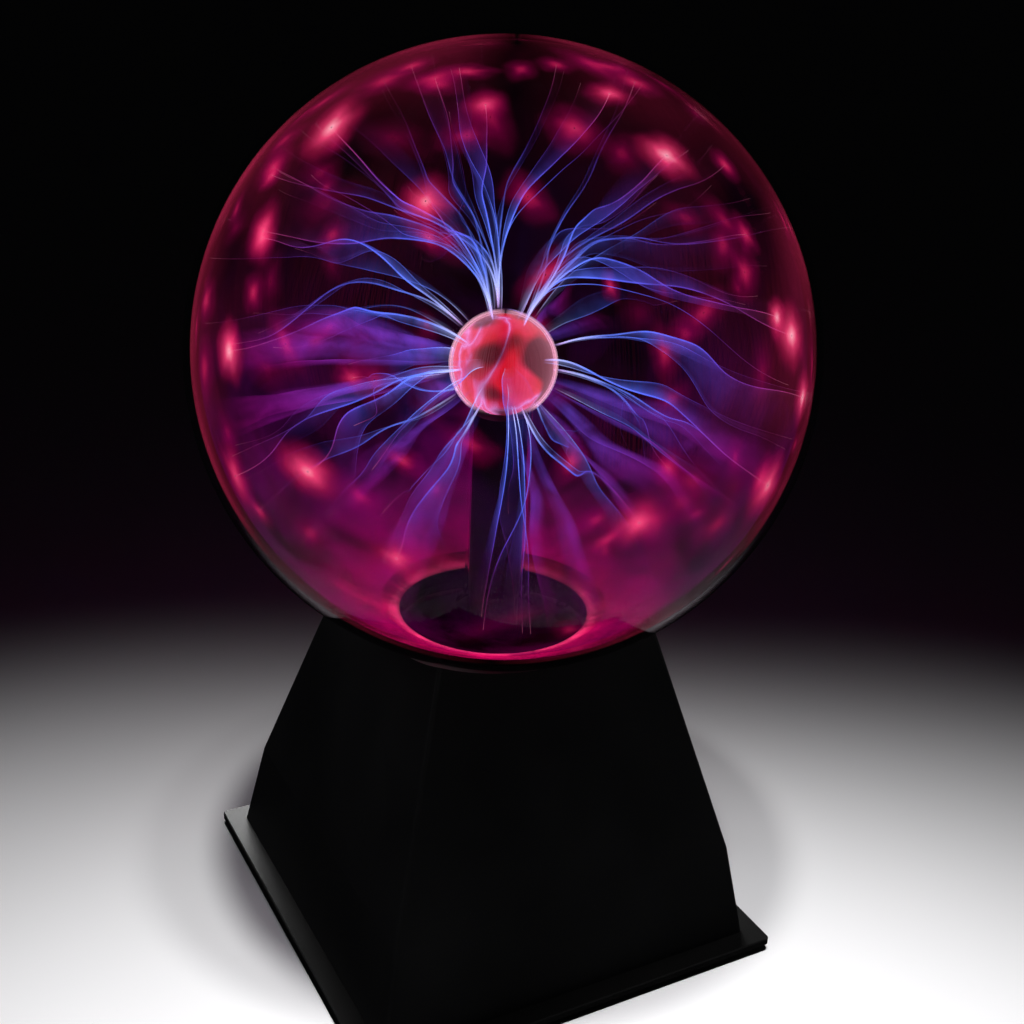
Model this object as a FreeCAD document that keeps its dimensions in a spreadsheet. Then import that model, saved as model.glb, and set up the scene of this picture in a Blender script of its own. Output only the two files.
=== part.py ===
"""Plasma ball: a sealed glass globe with a glowing centre electrode, standing on a square tapered base.

Frame: millimetres, +Z up, origin on the floor under the globe's centre, front at -Y, sockets at +Y.
"""
import FreeCAD, Part
import Sketcher
import math
import os
import re

# Driving dimensions. Places are in the part's frame; a name that ends in _z is a height above the floor.
DIMENSIONS = {
    "globe": {
        "globe_radius": 101.6,
        "globe_wall": 2.0,
        "globe_z": 211.0,
        "neck_radius": 35.0,
        "neck_end_z": 106.0,
        "neck_fillet": 1.5,
    },
    "stem and electrode": {
        "stem_radius": 10.4,
        "stem_wall": 1.2,
        "flare_radius": 13.6,
        "flare_z": 115.6,
        "electrode_radius": 17.9,
        "electrode_wall": 1.2,
        "electrode_z": 208.5,
        "wool_gap": 0.2,
        "rod_radius": 1.2,
        "rod_bottom_z": 112.0,
        "rod_top_z": 206.0,
        "rod_gap": 0.1,
        "sleeve_radius": 9.0,
        "sleeve_bottom_z": 127.0,
        "sleeve_top_z": 191.9,
        "exhaust_x": 28.5,
        "exhaust_radius": 2.5,
        "exhaust_wall": 1.0,
        "exhaust_shoulder_z": 104.0,
        "exhaust_tip_z": 99.6,
        "exhaust_tip_radius": 0.8,
    },
    "neck cap and globe seat": {
        "cap_radius": 38.3,
        "cap_rim": 1.5,
        "cap_bottom_z": 103.0,
        "cap_rim_z": 110.0,
        "cap_step_radius": 32.6,
        "cap_step_z": 109.0,
        "cap_spigot_radius": 8.6,
        "cap_bore_radius": 2.4,
        "cap_vent_radius": 3.0,
        "sealant_top_z": 109.5,
        "seat_gap": 0.8,
        "gasket_inner": 36.6,
        "gasket_outer": 39.6,
        "clamp_half": 38.5,
        "clamp_thickness": 3.0,
        "clamp_corner": 4.0,
        "clamp_hole_radius": 34.0,
        "clamp_screw_at": 32.0,
    },
    "base shell": {
        "shell_bottom_z": 5.5,
        "shell_bottom_half": 70.7,
        "shell_kink_z": 40.3,
        "shell_kink_half": 64.5,
        "shell_top_z": 125.5,
        "shell_top_half": 40.0,
        "shell_wall": 2.5,
        "shell_corner": 1.5,
        "cavity_corner": 1.0,
        "cavity_top_z": 122.5,
        "deck_hole_radius": 36.2,
        "boss_radius": 4.5,
        "boss_hole_radius": 1.45,
        "clamp_boss_top_z": 120.0,
        "clamp_boss_hole_z": 113.0,
        "foot_boss_at": 57.0,
        "foot_boss_top_z": 26.0,
        "foot_boss_hole_z": 20.0,
        "web_bottom_z": 9.5,
        "web_end": 66.0,
        "web_thickness": 2.0,
    },
    "rear socket recess": {
        "recess_half": 32.0,
        "recess_bottom_z": 10.0,
        "recess_top_z": 27.5,
        "panel_y": 60.0,
        "panel_thickness": 2.5,
        "socket_z": 17.6,
        "socket_gap": 0.1,
    },
    "base plate and feet": {
        "plate_half": 78.0,
        "plate_thickness": 2.5,
        "plate_corner": 2.0,
        "plate_chamfer": 0.4,
        "rim_outer": 67.2,
        "rim_thickness": 2.0,
        "rim_height": 1.8,
        "vent_length": 44.0,
        "vent_width": 2.5,
        "vent_pitch": 7.0,
        "vent_first_y": -22.0,
        "clearance_hole_radius": 1.7,
        "foot_at": 66.5,
        "foot_radius": 6.5,
        "foot_height": 3.0,
        "foot_chamfer": 0.6,
    },
    "screws": {
        "screw_radius": 1.4,
        "screw_head_radius": 2.9,
        "screw_head_height": 1.8,
        "screw_socket_radius": 1.1,
        "screw_socket_depth": 1.0,
        "clamp_screw_length": 11.0,
        "foot_screw_length": 14.0,
        "board_screw_length": 5.6,
    },
    "circuit board": {
        "board_half": 48.0,
        "board_front": -36.0,
        "board_back": 56.0,
        "board_z": 10.0,
        "board_thickness": 1.6,
        "board_hole_radius": 1.6,
        "standoff_x": 43.0,
        "standoff_front": -31.0,
        "standoff_back": 51.0,
        "standoff_radius": 3.2,
    },
    "transformer": {
        "core_x": -18.0,
        "core_y": -10.5,
        "core_half": 18.0,
        "core_half_width": 7.0,
        "yoke_height": 9.0,
        "leg_offset": 13.0,
        "leg_radius": 5.0,
        "leg_length": 13.0,
        "bobbin_gap": 0.2,
        "bobbin_flange": 1.2,
        "coil_wall": 1.2,
        "coil_flange_radius": 14.0,
        "coil_radius": 13.2,
        "drive_wall": 1.0,
        "drive_flange_radius": 9.5,
        "drive_radius": 8.6,
        "lead_radius": 1.6,
        "lead_bend": 14.0,
        "lead_run_z": 74.0,
    },
    "transistor and heat sink": {
        "sink_x": 10.0,
        "sink_width": 28.0,
        "sink_y": -24.0,
        "sink_thickness": 3.0,
        "sink_height": 30.0,
        "fin_depth": 9.0,
        "fin_thickness": 1.4,
        "fin_pitch": 5.32,
        "package_x": 24.0,
        "package_half": 5.0,
        "package_z": 20.0,
        "package_depth": 4.5,
        "package_height": 9.2,
        "tab_thickness": 1.3,
        "tab_height": 15.5,
        "tab_hole_z": 32.7,
        "lead_pitch": 2.54,
        "lead_width": 0.8,
        "lead_depth": 0.6,
        "sink_screw_length": 3.8,
    },
    "small parts on the board": {
        "supply_cap_radius": 6.5,
        "supply_cap_height": 20.0,
        "filter_cap_radius": 5.0,
        "filter_cap_height": 12.5,
        "cap_groove": 0.6,
        "cap_groove_height": 2.6,
        "caps_x": 36.0,
        "supply_cap_y": 32.0,
        "filter_cap_y": 14.0,
        "film_x": 11.5,
        "film_y": -9.0,
        "film_length": 13.0,
        "film_depth": 6.0,
        "film_height": 10.0,
        "film_edge": 0.8,
        "chip_x": 16.0,
        "chip_y": 18.0,
        "chip_length": 9.8,
        "chip_width": 6.4,
        "chip_height": 3.3,
        "chip_lift": 0.8,
        "chip_leg_span": 7.9,
        "chip_leg_width": 0.5,
        "resistor_x": -2.0,
        "resistor_y": 10.0,
        "resistor_pitch": 5.0,
        "resistor_radius": 1.2,
        "resistor_length": 6.4,
        "wire_radius": 0.35,
        "wire_leg_half": 0.24,
        "axial_lift": 1.6,
        "diode_x": -18.0,
        "diode_y": 12.0,
        "diode_pitch": 5.5,
        "diode_radius": 1.35,
        "diode_length": 5.2,
        "choke_x": -35.0,
        "choke_y": 26.0,
        "choke_radius": 6.0,
        "choke_height": 10.0,
        "choke_flange": 1.6,
        "choke_waist": 3.0,
        "choke_coil_radius": 5.2,
    },
    "power socket": {
        "jack_x": 19.0,
        "jack_half": 4.5,
        "jack_back": 44.5,
        "jack_height": 11.0,
        "jack_nose_radius": 4.2,
        "jack_hole_radius": 4.5,
        "jack_bore_radius": 3.2,
        "jack_bore_depth": 12.0,
        "pin_radius": 1.0,
        "pin_root": 1.5,
        "pin_recess": 1.5,
    },
    "slide switch": {
        "switch_x": -16.0,
        "switch_half": 9.5,
        "switch_depth": 6.0,
        "switch_height": 11.0,
        "switch_back_wall": 1.6,
        "switch_front_wall": 1.4,
        "slider_travel": 2.5,
        "slider_half": 3.6,
        "slider_half_height": 2.9,
        "slider_gap": 0.3,
        "lever_half": 2.0,
        "lever_half_height": 1.8,
        "lever_reach": 3.0,
        "lever_rib_depth": 0.4,
        "lever_rib_width": 0.5,
        "lever_rib_pitch": 1.1,
    },
    "microphone": {
        "mic_x": 3.0,
        "mic_radius": 4.85,
        "mic_length": 6.5,
        "mic_boot_radius": 5.9,
        "mic_boot_length": 5.9,
        "mic_port_radius": 0.9,
    },
}

CORNERS = ((-1, -1), (1, -1), (1, 1), (-1, 1))
VENT_COUNT = 7
FIN_COUNT = 6
RESISTOR_COUNT = 5
DIODE_COUNT = 2
CHIP_LEGS_PER_SIDE = 4
BOARD_TOP = "board_z+board_thickness"
PANEL_BACK = "panel_y-panel_thickness-socket_gap"

doc = FreeCAD.newDocument("plasma_ball")
sheet = doc.addObject("Spreadsheet::Sheet", "Dims")
nodes = []


# ---------------------------------------------------------------- sheet and expressions

def fill_sheet():
    """One row per driving dimension: its group, its name and its value."""
    row = 1
    for group, sizes in DIMENSIONS.items():
        for alias, size in sizes.items():
            sheet.set(f"A{row}", group)
            sheet.set(f"B{row}", alias)
            sheet.set(f"C{row}", str(size))
            sheet.setAlias(f"C{row}", alias)
            row += 1
    doc.recompute()


def bound(text):
    """The expression with each alias written as a cell of the sheet."""
    return re.sub(r"[a-z]+(?:_[a-z]+)+", lambda word: "Dims." + word.group(), text)


def value(text):
    """The number that an expression over the sheet's cells gives now."""
    return float(sheet.evalExpression(bound(text)))


def bind(obj, **sizes):
    """Bind properties of an object to expressions over the sheet's cells."""
    for name, text in sizes.items():
        obj.setExpression(name, bound(text))


def place(obj, spot):
    """Bind an object's position to three expressions."""
    for axis, text in zip("xyz", spot):
        obj.setExpression("Placement.Base." + axis, bound(text))
    return obj


def node(obj, label):
    """Name a finished sub-part, which is then one file of the part."""
    obj.Label = label
    nodes.append(obj)
    return obj


# ---------------------------------------------------------------- primitives and booleans

def box(name, spot, size):
    """A block with its lowest corner at spot."""
    block = doc.addObject("Part::Box", name)
    bind(block, Length=size[0], Width=size[1], Height=size[2])
    return place(block, spot)


def slab(name, middle, half_x, half_y, low_z, height):
    """A block centred on middle (x, y), from low_z up."""
    x, y = middle
    spot = (f"{x}-({half_x})", f"{y}-({half_y})", low_z)
    return box(name, spot, (f"2*({half_x})", f"2*({half_y})", height))


def rod(name, spot, radius, length, along="z"):
    """A cylinder from spot, along +Z or +Y."""
    bar = doc.addObject("Part::Cylinder", name)
    bind(bar, Radius=radius, Height=length)
    if along == "y":
        bar.Placement.Rotation = FreeCAD.Rotation(FreeCAD.Vector(1, 0, 0), -90)
    return place(bar, spot)


def ball(name, radius):
    """A ball about the globe's centre."""
    sphere = doc.addObject("Part::Sphere", name)
    bind(sphere, Radius=radius)
    return place(sphere, ("0", "0", "globe_z"))


def fuse(name, pieces):
    """One solid from several that touch or overlap."""
    whole = doc.addObject("Part::MultiFuse", name)
    whole.Shapes = pieces
    return whole


def cut(name, solid, tools):
    """A solid less one or more tools."""
    less = doc.addObject("Part::Cut", name)
    less.Base = solid
    less.Tool = tools[0] if len(tools) == 1 else fuse(name + "_tools", tools)
    return less


def group(name, pieces):
    """Identical pieces that stay separate solids under one name."""
    several = doc.addObject("Part::Compound", name)
    several.Links = pieces
    return several


# ---------------------------------------------------------------- sketched bodies

def hold(sketch, side, end, across, text):
    """Fix one coordinate of a sketch point: its x if across is true, else its y."""
    if text == "0":
        axis = -2 if across else -1
        sketch.addConstraint(Sketcher.Constraint("PointOnObject", side, end, axis))
        return
    kind = "DistanceX" if across else "DistanceY"
    number = sketch.addConstraint(Sketcher.Constraint(kind, -1, 1, side, end, value(text)))
    sketch.setExpression(f"Constraints[{number}]", bound(text))


def new_sketch(body, plane, lift="0"):
    """An empty sketch on one of a body's own origin planes, or above it."""
    sketch = body.newObject("Sketcher::SketchObject", body.Name + "_sketch")
    support = next(item for item in body.Origin.OriginFeatures if item.Role == plane)
    sketch.AttachmentSupport = [(support, "")]
    sketch.MapMode = "FlatFace"
    if lift != "0":
        sketch.setExpression("AttachmentOffset.Base.z", bound(lift))
    return sketch


def outline(sketch, points, arcs=None, closed=True):
    """Sides through points, each (x, y) or (x, y, held coordinate) as expressions.

    arcs maps a side's number to (centre x, centre y, radius, turn); turn is 1 anticlockwise, -1 clockwise.
    A point on an arc has one coordinate held, x unless it says y, and the arc gives the other.
    """
    arcs = arcs or {}
    spots = [FreeCAD.Vector(value(point[0]), value(point[1]), 0) for point in points]
    count = len(points)
    sides = count if closed else count - 1
    ends = []
    for side in range(sides):
        start, stop = spots[side], spots[(side + 1) % count]
        if side not in arcs:
            sketch.addGeometry(Part.LineSegment(start, stop), False)
            ends.append((1, 2))
            continue
        x, y, radius, turn = arcs[side]
        centre = FreeCAD.Vector(value(x), value(y), 0)
        angles = [math.atan2(spot.y - centre.y, spot.x - centre.x) for spot in (start, stop)[::turn]]
        if angles[1] < angles[0]:
            angles[1] += 2 * math.pi
        circle = Part.Circle(centre, FreeCAD.Vector(0, 0, 1), value(radius))
        sketch.addGeometry(Part.ArcOfCircle(circle, *angles), False)
        ends.append((1, 2)[::turn])
    for side in range(sides if closed else sides - 1):
        after = (side + 1) % sides
        sketch.addConstraint(Sketcher.Constraint("Coincident", side, ends[side][1], after, ends[after][0]))
    for number, point in enumerate(points):
        side = min(number, sides - 1)
        end = ends[side][0] if number == side else ends[side][1]
        on_arc = number in arcs or (number - 1) % count in arcs
        held = point[2] if len(point) > 2 else ("x" if on_arc else "xy")
        for across, letter in ((True, "x"), (False, "y")):
            if letter in held:
                hold(sketch, side, end, across, point[0] if across else point[1])
    for side, (x, y, radius, turn) in arcs.items():
        hold(sketch, side, 3, True, x)
        hold(sketch, side, 3, False, y)
        number = sketch.addConstraint(Sketcher.Constraint("Radius", side, value(radius)))
        sketch.setExpression(f"Constraints[{number}]", bound(radius))


def turned(name, points, arcs=None, spot=None, along="z"):
    """A body turned about its own Z axis, or its Y axis, from an outline of (radius, distance along)."""
    body = doc.addObject("PartDesign::Body", name)
    sketch = new_sketch(body, "XZ_Plane" if along == "z" else "XY_Plane")
    outline(sketch, points, arcs)
    turning = body.newObject("PartDesign::Revolution", name + "_turn")
    turning.Profile = sketch
    turning.ReferenceAxis = (sketch, ["V_Axis"])
    turning.Angle = 360
    if spot:
        place(body, spot)
    return body


def tube(name, inner, outer, low, height, spot=("0", "0", "0"), along="z"):
    """A ring or sleeve of rectangular section."""
    high = f"{low}+{height}"
    return turned(name, [(inner, low), (outer, low), (outer, high), (inner, high)], None, spot, along)


def rounded_square(sketch, half, corner):
    """A square about the sketch's origin, with rounded corners."""
    inner = f"({half}-{corner})"
    points = []
    arcs = {}
    for number, (x, y) in enumerate(CORNERS):
        before = (f"{x}*{half}", f"{y}*{inner}", "y")
        after = (f"{x}*{inner}", f"{y}*{half}", "x")
        points += [before, after] if x == y else [after, before]
        arcs[2 * number] = (f"{x}*{inner}", f"{y}*{inner}", corner, 1)
    outline(sketch, points, arcs)


def square_loft(name, sections, corner):
    """A body through squares at several heights, given as (half width, height), with flat sides."""
    body = doc.addObject("PartDesign::Body", name)
    sketches = []
    for half, height in sections:
        sketch = new_sketch(body, "XY_Plane", height)
        rounded_square(sketch, half, corner)
        sketches.append(sketch)
    loft = body.newObject("PartDesign::AdditiveLoft", name + "_loft")
    loft.Profile = sketches[0]
    loft.Sections = sketches[1:]
    loft.Ruled = True
    return body


def square_plate(name, half, corner, low, height):
    """A body padded up from a rounded square."""
    body = doc.addObject("PartDesign::Body", name)
    sketch = new_sketch(body, "XY_Plane", low)
    rounded_square(sketch, half, corner)
    pad = body.newObject("PartDesign::Pad", name + "_pad")
    pad.Profile = sketch
    bind(pad, Length=height)
    return body


def rounded_edges(body, kind, size, chosen):
    """Fillet or chamfer the edges of a body's tip that chosen picks, given each edge's circle or line."""
    doc.recompute()
    base = body.Tip
    names = [f"Edge{number}" for number, edge in enumerate(base.Shape.Edges, 1) if chosen(edge)]
    feature = body.newObject("PartDesign::" + kind, body.Name + "_" + kind.lower())
    feature.Base = (base, names)
    bind(feature, **{"Radius" if kind == "Fillet" else "Size": size})
    return body


def four(name, at_x, at_y):
    """A name and place for each corner of a rectangle of screws, bosses or feet."""
    return [(f"{name}_{number}", f"{x}*{at_x}", f"{y}*{at_y}") for number, (x, y) in enumerate(CORNERS)]


# ---------------------------------------------------------------- glass and electrode

def globe_envelope():
    """Blown globe, open at a short neck below."""
    inside = "(globe_radius-globe_wall)"
    bore = "(neck_radius-globe_wall)"
    points = [
        ("0", "globe_z+globe_radius"),
        ("neck_radius", "globe_z-sqrt(globe_radius^2-neck_radius^2)"),
        ("neck_radius", "neck_end_z"),
        (bore, "neck_end_z"),
        (bore, f"globe_z-sqrt({inside}^2-{bore}^2)"),
        ("0", f"globe_z+{inside}"),
    ]
    arcs = {0: ("0", "globe_z", "globe_radius", -1), 4: ("0", "globe_z", inside, 1)}
    body = turned("globe", points, arcs)
    neck_radii = (value("neck_radius"), value(bore))
    lip = value("neck_end_z")

    def neck_root(edge):
        size = edge.BoundBox
        level = size.ZLength < 0.01 and size.ZMin > lip + 1
        return level and min(abs(size.XLength / 2 - radius) for radius in neck_radii) < 0.01
    rounded_edges(body, "Fillet", "neck_fillet", neck_root)
    node(body, "globe_envelope")


def stem_glass():
    """Electrode bulb, stem tube and flare, drawn from one tube. The flare's rim is fused into the neck."""
    bulb = "(electrode_radius-electrode_wall)"
    bore = "(stem_radius-stem_wall)"
    rim = "neck_radius-globe_wall"
    flare_x = "(stem_radius+flare_radius)"
    flare_top = "flare_z+flare_radius"
    points = [
        ("0", "electrode_z+electrode_radius"),
        ("stem_radius", "electrode_z-sqrt(electrode_radius^2-stem_radius^2)"),
        ("stem_radius", flare_top, "y"),
        (flare_x, "flare_z"),
        (rim, "flare_z"),
        (rim, "flare_z-stem_wall"),
        (flare_x, "flare_z-stem_wall"),
        (bore, flare_top, "y"),
        (bore, f"electrode_z-sqrt({bulb}^2-{bore}^2)"),
        ("0", f"electrode_z+{bulb}"),
    ]
    arcs = {
        0: ("0", "electrode_z", "electrode_radius", -1),
        2: (flare_x, flare_top, "flare_radius", 1),
        6: (flare_x, flare_top, "flare_radius+stem_wall", -1),
        8: ("0", "electrode_z", bulb, 1),
    }
    node(turned("stem", points, arcs), "stem_glass")


def exhaust_tube():
    """Sealed-off pumping tube under the flare."""
    bore = "exhaust_radius-exhaust_wall"
    points = [
        (bore, "flare_z-stem_wall"),
        ("exhaust_radius", "flare_z-stem_wall"),
        ("exhaust_radius", "exhaust_shoulder_z"),
        ("exhaust_tip_radius", "exhaust_tip_z"),
        ("0", "exhaust_tip_z"),
        ("0", "exhaust_shoulder_z"),
        (bore, "exhaust_shoulder_z+exhaust_wall"),
    ]
    node(turned("exhaust", points, None, ("exhaust_x", "0", "0")), "exhaust_tube")


def electrode_wool():
    """Conductive wool that fills the electrode bulb around the rod's end."""
    size = "(electrode_radius-electrode_wall-wool_gap)"
    bore = "(rod_radius+rod_gap)"
    points = [
        ("0", f"electrode_z+{size}"),
        (bore, f"electrode_z-sqrt({size}^2-{bore}^2)"),
        (bore, "rod_top_z+wool_gap"),
        ("0", "rod_top_z+wool_gap"),
    ]
    node(turned("wool", points, {0: ("0", "electrode_z", size, -1)}), "electrode_wool")


def electrode_rod():
    """Conductor from the high-voltage lead up into the wool."""
    spot = ("0", "0", "rod_bottom_z")
    node(rod("conductor", spot, "rod_radius", "rod_top_z-rod_bottom_z"), "electrode_rod")


def stem_sleeve():
    """Black insulating sleeve around the rod, inside the stem."""
    height = "sleeve_top_z-sleeve_bottom_z"
    node(tube("sleeve", "rod_radius+rod_gap", "sleeve_radius", "sleeve_bottom_z", height), "stem_sleeve")


# ---------------------------------------------------------------- neck cap and globe seat

def neck_cap():
    """Moulded cap on the end of the neck, with a spigot that carries the sleeve."""
    channel = "cap_radius-cap_rim"
    points = [
        ("cap_bore_radius", "cap_bottom_z"),
        ("cap_radius", "cap_bottom_z"),
        ("cap_radius", "cap_rim_z"),
        (channel, "cap_rim_z"),
        (channel, "neck_end_z"),
        ("cap_step_radius", "neck_end_z"),
        ("cap_step_radius", "cap_step_z"),
        ("cap_spigot_radius", "cap_step_z"),
        ("cap_spigot_radius", "sleeve_bottom_z"),
        ("cap_bore_radius", "sleeve_bottom_z"),
    ]
    blank = turned("cap_blank", points)
    vent_height = "cap_step_z-cap_bottom_z+2"
    vent = rod("cap_vent", ("exhaust_x", "0", "cap_bottom_z-1"), "cap_vent_radius", vent_height)
    node(cut("cap", blank, [vent]), "neck_cap")


def neck_sealant():
    """Silicone bead between the neck and the cap's rim."""
    height = "sealant_top_z-neck_end_z"
    node(tube("sealant", "neck_radius", "cap_radius-cap_rim", "neck_end_z", height), "neck_sealant")


def globe_gasket():
    """Thin ring between the globe and the dish in the base."""
    dish = "(globe_radius+seat_gap)"
    points = [
        ("gasket_inner", "globe_z-sqrt(globe_radius^2-gasket_inner^2)"),
        ("gasket_inner", f"globe_z-sqrt({dish}^2-gasket_inner^2)"),
        ("gasket_outer", f"globe_z-sqrt({dish}^2-gasket_outer^2)"),
        ("gasket_outer", "globe_z-sqrt(globe_radius^2-gasket_outer^2)"),
    ]
    arcs = {1: ("0", "globe_z", dish, 1), 3: ("0", "globe_z", "globe_radius", -1)}
    node(turned("gasket", points, arcs), "globe_gasket")


def globe_clamp():
    """Square clamp plate that holds the neck cap up against the base."""
    low = "cap_bottom_z-clamp_thickness"
    blank = square_plate("clamp_blank", "clamp_half", "clamp_corner", low, "clamp_thickness")
    height = "clamp_thickness+2"
    holes = [rod("clamp_bore", ("0", "0", low + "-1"), "clamp_hole_radius", height)]
    for name, x, y in four("clamp_hole", "clamp_screw_at", "clamp_screw_at"):
        holes.append(rod(name, (x, y, low + "-1"), "clearance_hole_radius", height))
    node(cut("clamp", blank, holes), "globe_clamp")


# ---------------------------------------------------------------- screws

def screw(name, x, y, seat_z, length, points_up):
    """Pan-head screw. seat_z is the height of the face its head bears on."""
    up = 1 if points_up else -1
    head = "screw_head_height"
    points = [
        ("0", f"{seat_z}-{up}*({head}-screw_socket_depth)"),
        ("screw_socket_radius", f"{seat_z}-{up}*({head}-screw_socket_depth)"),
        ("screw_socket_radius", f"{seat_z}-{up}*{head}"),
        ("screw_head_radius-screw_socket_depth", f"{seat_z}-{up}*{head}"),
        ("screw_head_radius", f"{seat_z}-{up}*({head}-screw_socket_depth)"),
        ("screw_head_radius", seat_z),
        ("screw_radius", seat_z),
        ("screw_radius", f"{seat_z}+{up}*({length}-screw_radius)"),
        ("0", f"{seat_z}+{up}*({length})"),
    ]
    return turned(name, points, None, (x, y, "0"))


def clamp_screws():
    """Four screws from below through the clamp plate into the deck's bosses."""
    seat = "(cap_bottom_z-clamp_thickness)"
    spots = four("clamp_screw", "clamp_screw_at", "clamp_screw_at")
    pieces = [screw(name, x, y, seat, "clamp_screw_length", True) for name, x, y in spots]
    node(group("clamp_screw_set", pieces), "clamp_screws")


def base_screws():
    """Four screws from below through the base plate into the shell's corner bosses."""
    spots = four("base_screw", "foot_boss_at", "foot_boss_at")
    pieces = [screw(name, x, y, "foot_height", "foot_screw_length", True) for name, x, y in spots]
    node(group("base_screw_set", pieces), "base_screws")


def board_corners(name):
    """A name and place for each of the board's four mounting holes."""
    rows = (("front", "standoff_front"), ("back", "standoff_back"))
    return [(f"{name}_{row}_{side + 1}", f"{side}*standoff_x", y) for row, y in rows for side in (-1, 1)]


def board_screws():
    """Four screws from above through the circuit board into the plate's standoffs."""
    pieces = [
        screw(name, x, y, f"({BOARD_TOP})", "board_screw_length", False)
        for name, x, y in board_corners("board_screw")
    ]
    node(group("board_screw_set", pieces), "board_screws")


# ---------------------------------------------------------------- base

def shell_half(height):
    """The upper band's half width at a height, as an expression."""
    slope = "(shell_kink_half-shell_top_half)/(shell_top_z-shell_kink_z)"
    return f"(shell_top_half+(shell_top_z-{height})*{slope})"


def shell_walls():
    """Square tower of two slopes, hollow from below, with a deck under the globe."""
    outer = [
        ("shell_bottom_half", "shell_bottom_z"),
        ("shell_kink_half", "shell_kink_z"),
        ("shell_top_half", "shell_top_z"),
    ]
    inner = [
        ("(shell_bottom_half-shell_wall)", "shell_bottom_z"),
        ("(shell_kink_half-shell_wall)", "shell_kink_z"),
        (f"({shell_half('cavity_top_z')}-shell_wall)", "cavity_top_z"),
    ]
    tower = square_loft("tower", outer, "shell_corner")
    hollow = square_loft("hollow", inner, "cavity_corner")
    under_deck = cut("under_deck", hollow, [ball("deck_ball", "globe_radius+seat_gap+shell_wall")])
    return tower, cut("tower_walls", tower, [under_deck])


def shell_bosses():
    """Screw bosses: four under the deck, and four in the corners with webs to the walls."""
    pieces = []
    for name, x, y in four("clamp_boss", "clamp_screw_at", "clamp_screw_at"):
        pieces.append(rod(name, (x, y, "cap_bottom_z"), "boss_radius", "clamp_boss_top_z-cap_bottom_z"))
    for name, x, y in four("foot_boss", "foot_boss_at", "foot_boss_at"):
        pieces.append(rod(name, (x, y, "shell_bottom_z"), "boss_radius", "foot_boss_top_z-shell_bottom_z"))
    reach = "(web_end-foot_boss_at)/2"
    middle = "(web_end+foot_boss_at)/2"
    height = "foot_boss_top_z-web_bottom_z"
    for name, x, y in four("web_x", middle, "foot_boss_at"):
        pieces.append(slab(name, (x, y), reach, "web_thickness/2", "web_bottom_z", height))
    for name, x, y in four("web_y", "foot_boss_at", middle):
        pieces.append(slab(name, (x, y), "web_thickness/2", reach, "web_bottom_z", height))
    return pieces


def recess_box(name, margin, front):
    """The block of the rear recess, larger by margin on its sides, from y = front to behind the shell."""
    spot = (f"-recess_half-{margin}", front, f"recess_bottom_z-{margin}")
    width = f"2*(recess_half+{margin})"
    return box(name, spot, (width, f"plate_half-({front})", f"recess_top_z-recess_bottom_z+2*{margin}"))


def shell_holes():
    """Everything cut from the shell: dish, neck hole, screw holes, rear recess and its three openings."""
    tools = [ball("dish_ball", "globe_radius+seat_gap")]
    neck_height = "shell_top_z-cap_bottom_z"
    tools.append(rod("neck_hole", ("0", "0", "cap_bottom_z"), "deck_hole_radius", neck_height))
    for name, x, y in four("clamp_boss_hole", "clamp_screw_at", "clamp_screw_at"):
        height = "clamp_boss_hole_z-cap_bottom_z"
        tools.append(rod(name, (x, y, "cap_bottom_z"), "boss_hole_radius", height))
    for name, x, y in four("foot_boss_hole", "foot_boss_at", "foot_boss_at"):
        height = "foot_boss_hole_z-shell_bottom_z"
        tools.append(rod(name, (x, y, "shell_bottom_z"), "boss_hole_radius", height))
    tools.append(recess_box("recess", "0", "panel_y"))
    back = "panel_y-panel_thickness-1"
    depth = "panel_thickness+2"
    tools.append(rod("jack_hole", ("jack_x", back, "socket_z"), "jack_hole_radius", depth, "y"))
    tools.append(rod("mic_port", ("mic_x", back, "socket_z"), "mic_port_radius", depth, "y"))
    half = "lever_half+slider_travel+2*slider_gap"
    tall = "lever_half_height+slider_gap"
    spot = (f"switch_x-({half})", back, f"socket_z-({tall})")
    tools.append(box("lever_slot", spot, (f"2*({half})", depth, f"2*({tall})")))
    return tools


def base_shell():
    """Moulded base: tower walls, bosses and the recessed rear panel."""
    tower, walls = shell_walls()
    panel = doc.addObject("Part::Common", "panel")
    panel.Base = tower
    panel.Tool = recess_box("panel_block", "shell_wall", "panel_y-panel_thickness")
    solid = fuse("shell_solid", [walls, panel] + shell_bosses())
    node(cut("shell", solid, shell_holes()), "base_shell")


def base_plate():
    """Square plinth that closes the shell, with a locating rim, board standoffs and vents."""
    blank = square_plate("plate_blank", "plate_half", "plate_corner", "foot_height", "plate_thickness")
    top = value("shell_bottom_z")

    def top_edge(edge):
        return all(abs(vertex.Z - top) < 0.01 for vertex in edge.Vertexes)
    rounded_edges(blank, "Chamfer", "plate_chamfer", top_edge)
    low = "shell_bottom_z"
    rim_blank = square_plate("rim_blank", "rim_outer", "cavity_corner", low, "rim_height")
    rim_inner = "(rim_outer-rim_thickness)"
    rim_core = slab("rim_core", ("0", "0"), rim_inner, rim_inner, low, "rim_height")
    pieces = [blank, cut("rim", rim_blank, [rim_core])]
    holes = []
    for name, x, y in board_corners("standoff"):
        pieces.append(rod(name, (x, y, low), "standoff_radius", "board_z-shell_bottom_z"))
        holes.append(rod(name + "_hole", (x, y, low), "boss_hole_radius", "board_z-shell_bottom_z"))
    for name, x, y in four("plate_hole", "foot_boss_at", "foot_boss_at"):
        holes.append(rod(name, (x, y, "0"), "clearance_hole_radius", "board_z"))
    for number in range(VENT_COUNT):
        spot = ("-vent_length/2", f"vent_first_y+{number}*vent_pitch", "0")
        holes.append(box(f"vent_{number}", spot, ("vent_length", "vent_width", "board_z")))
    node(cut("plate", fuse("plate_solid", pieces), holes), "base_plate")


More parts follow.
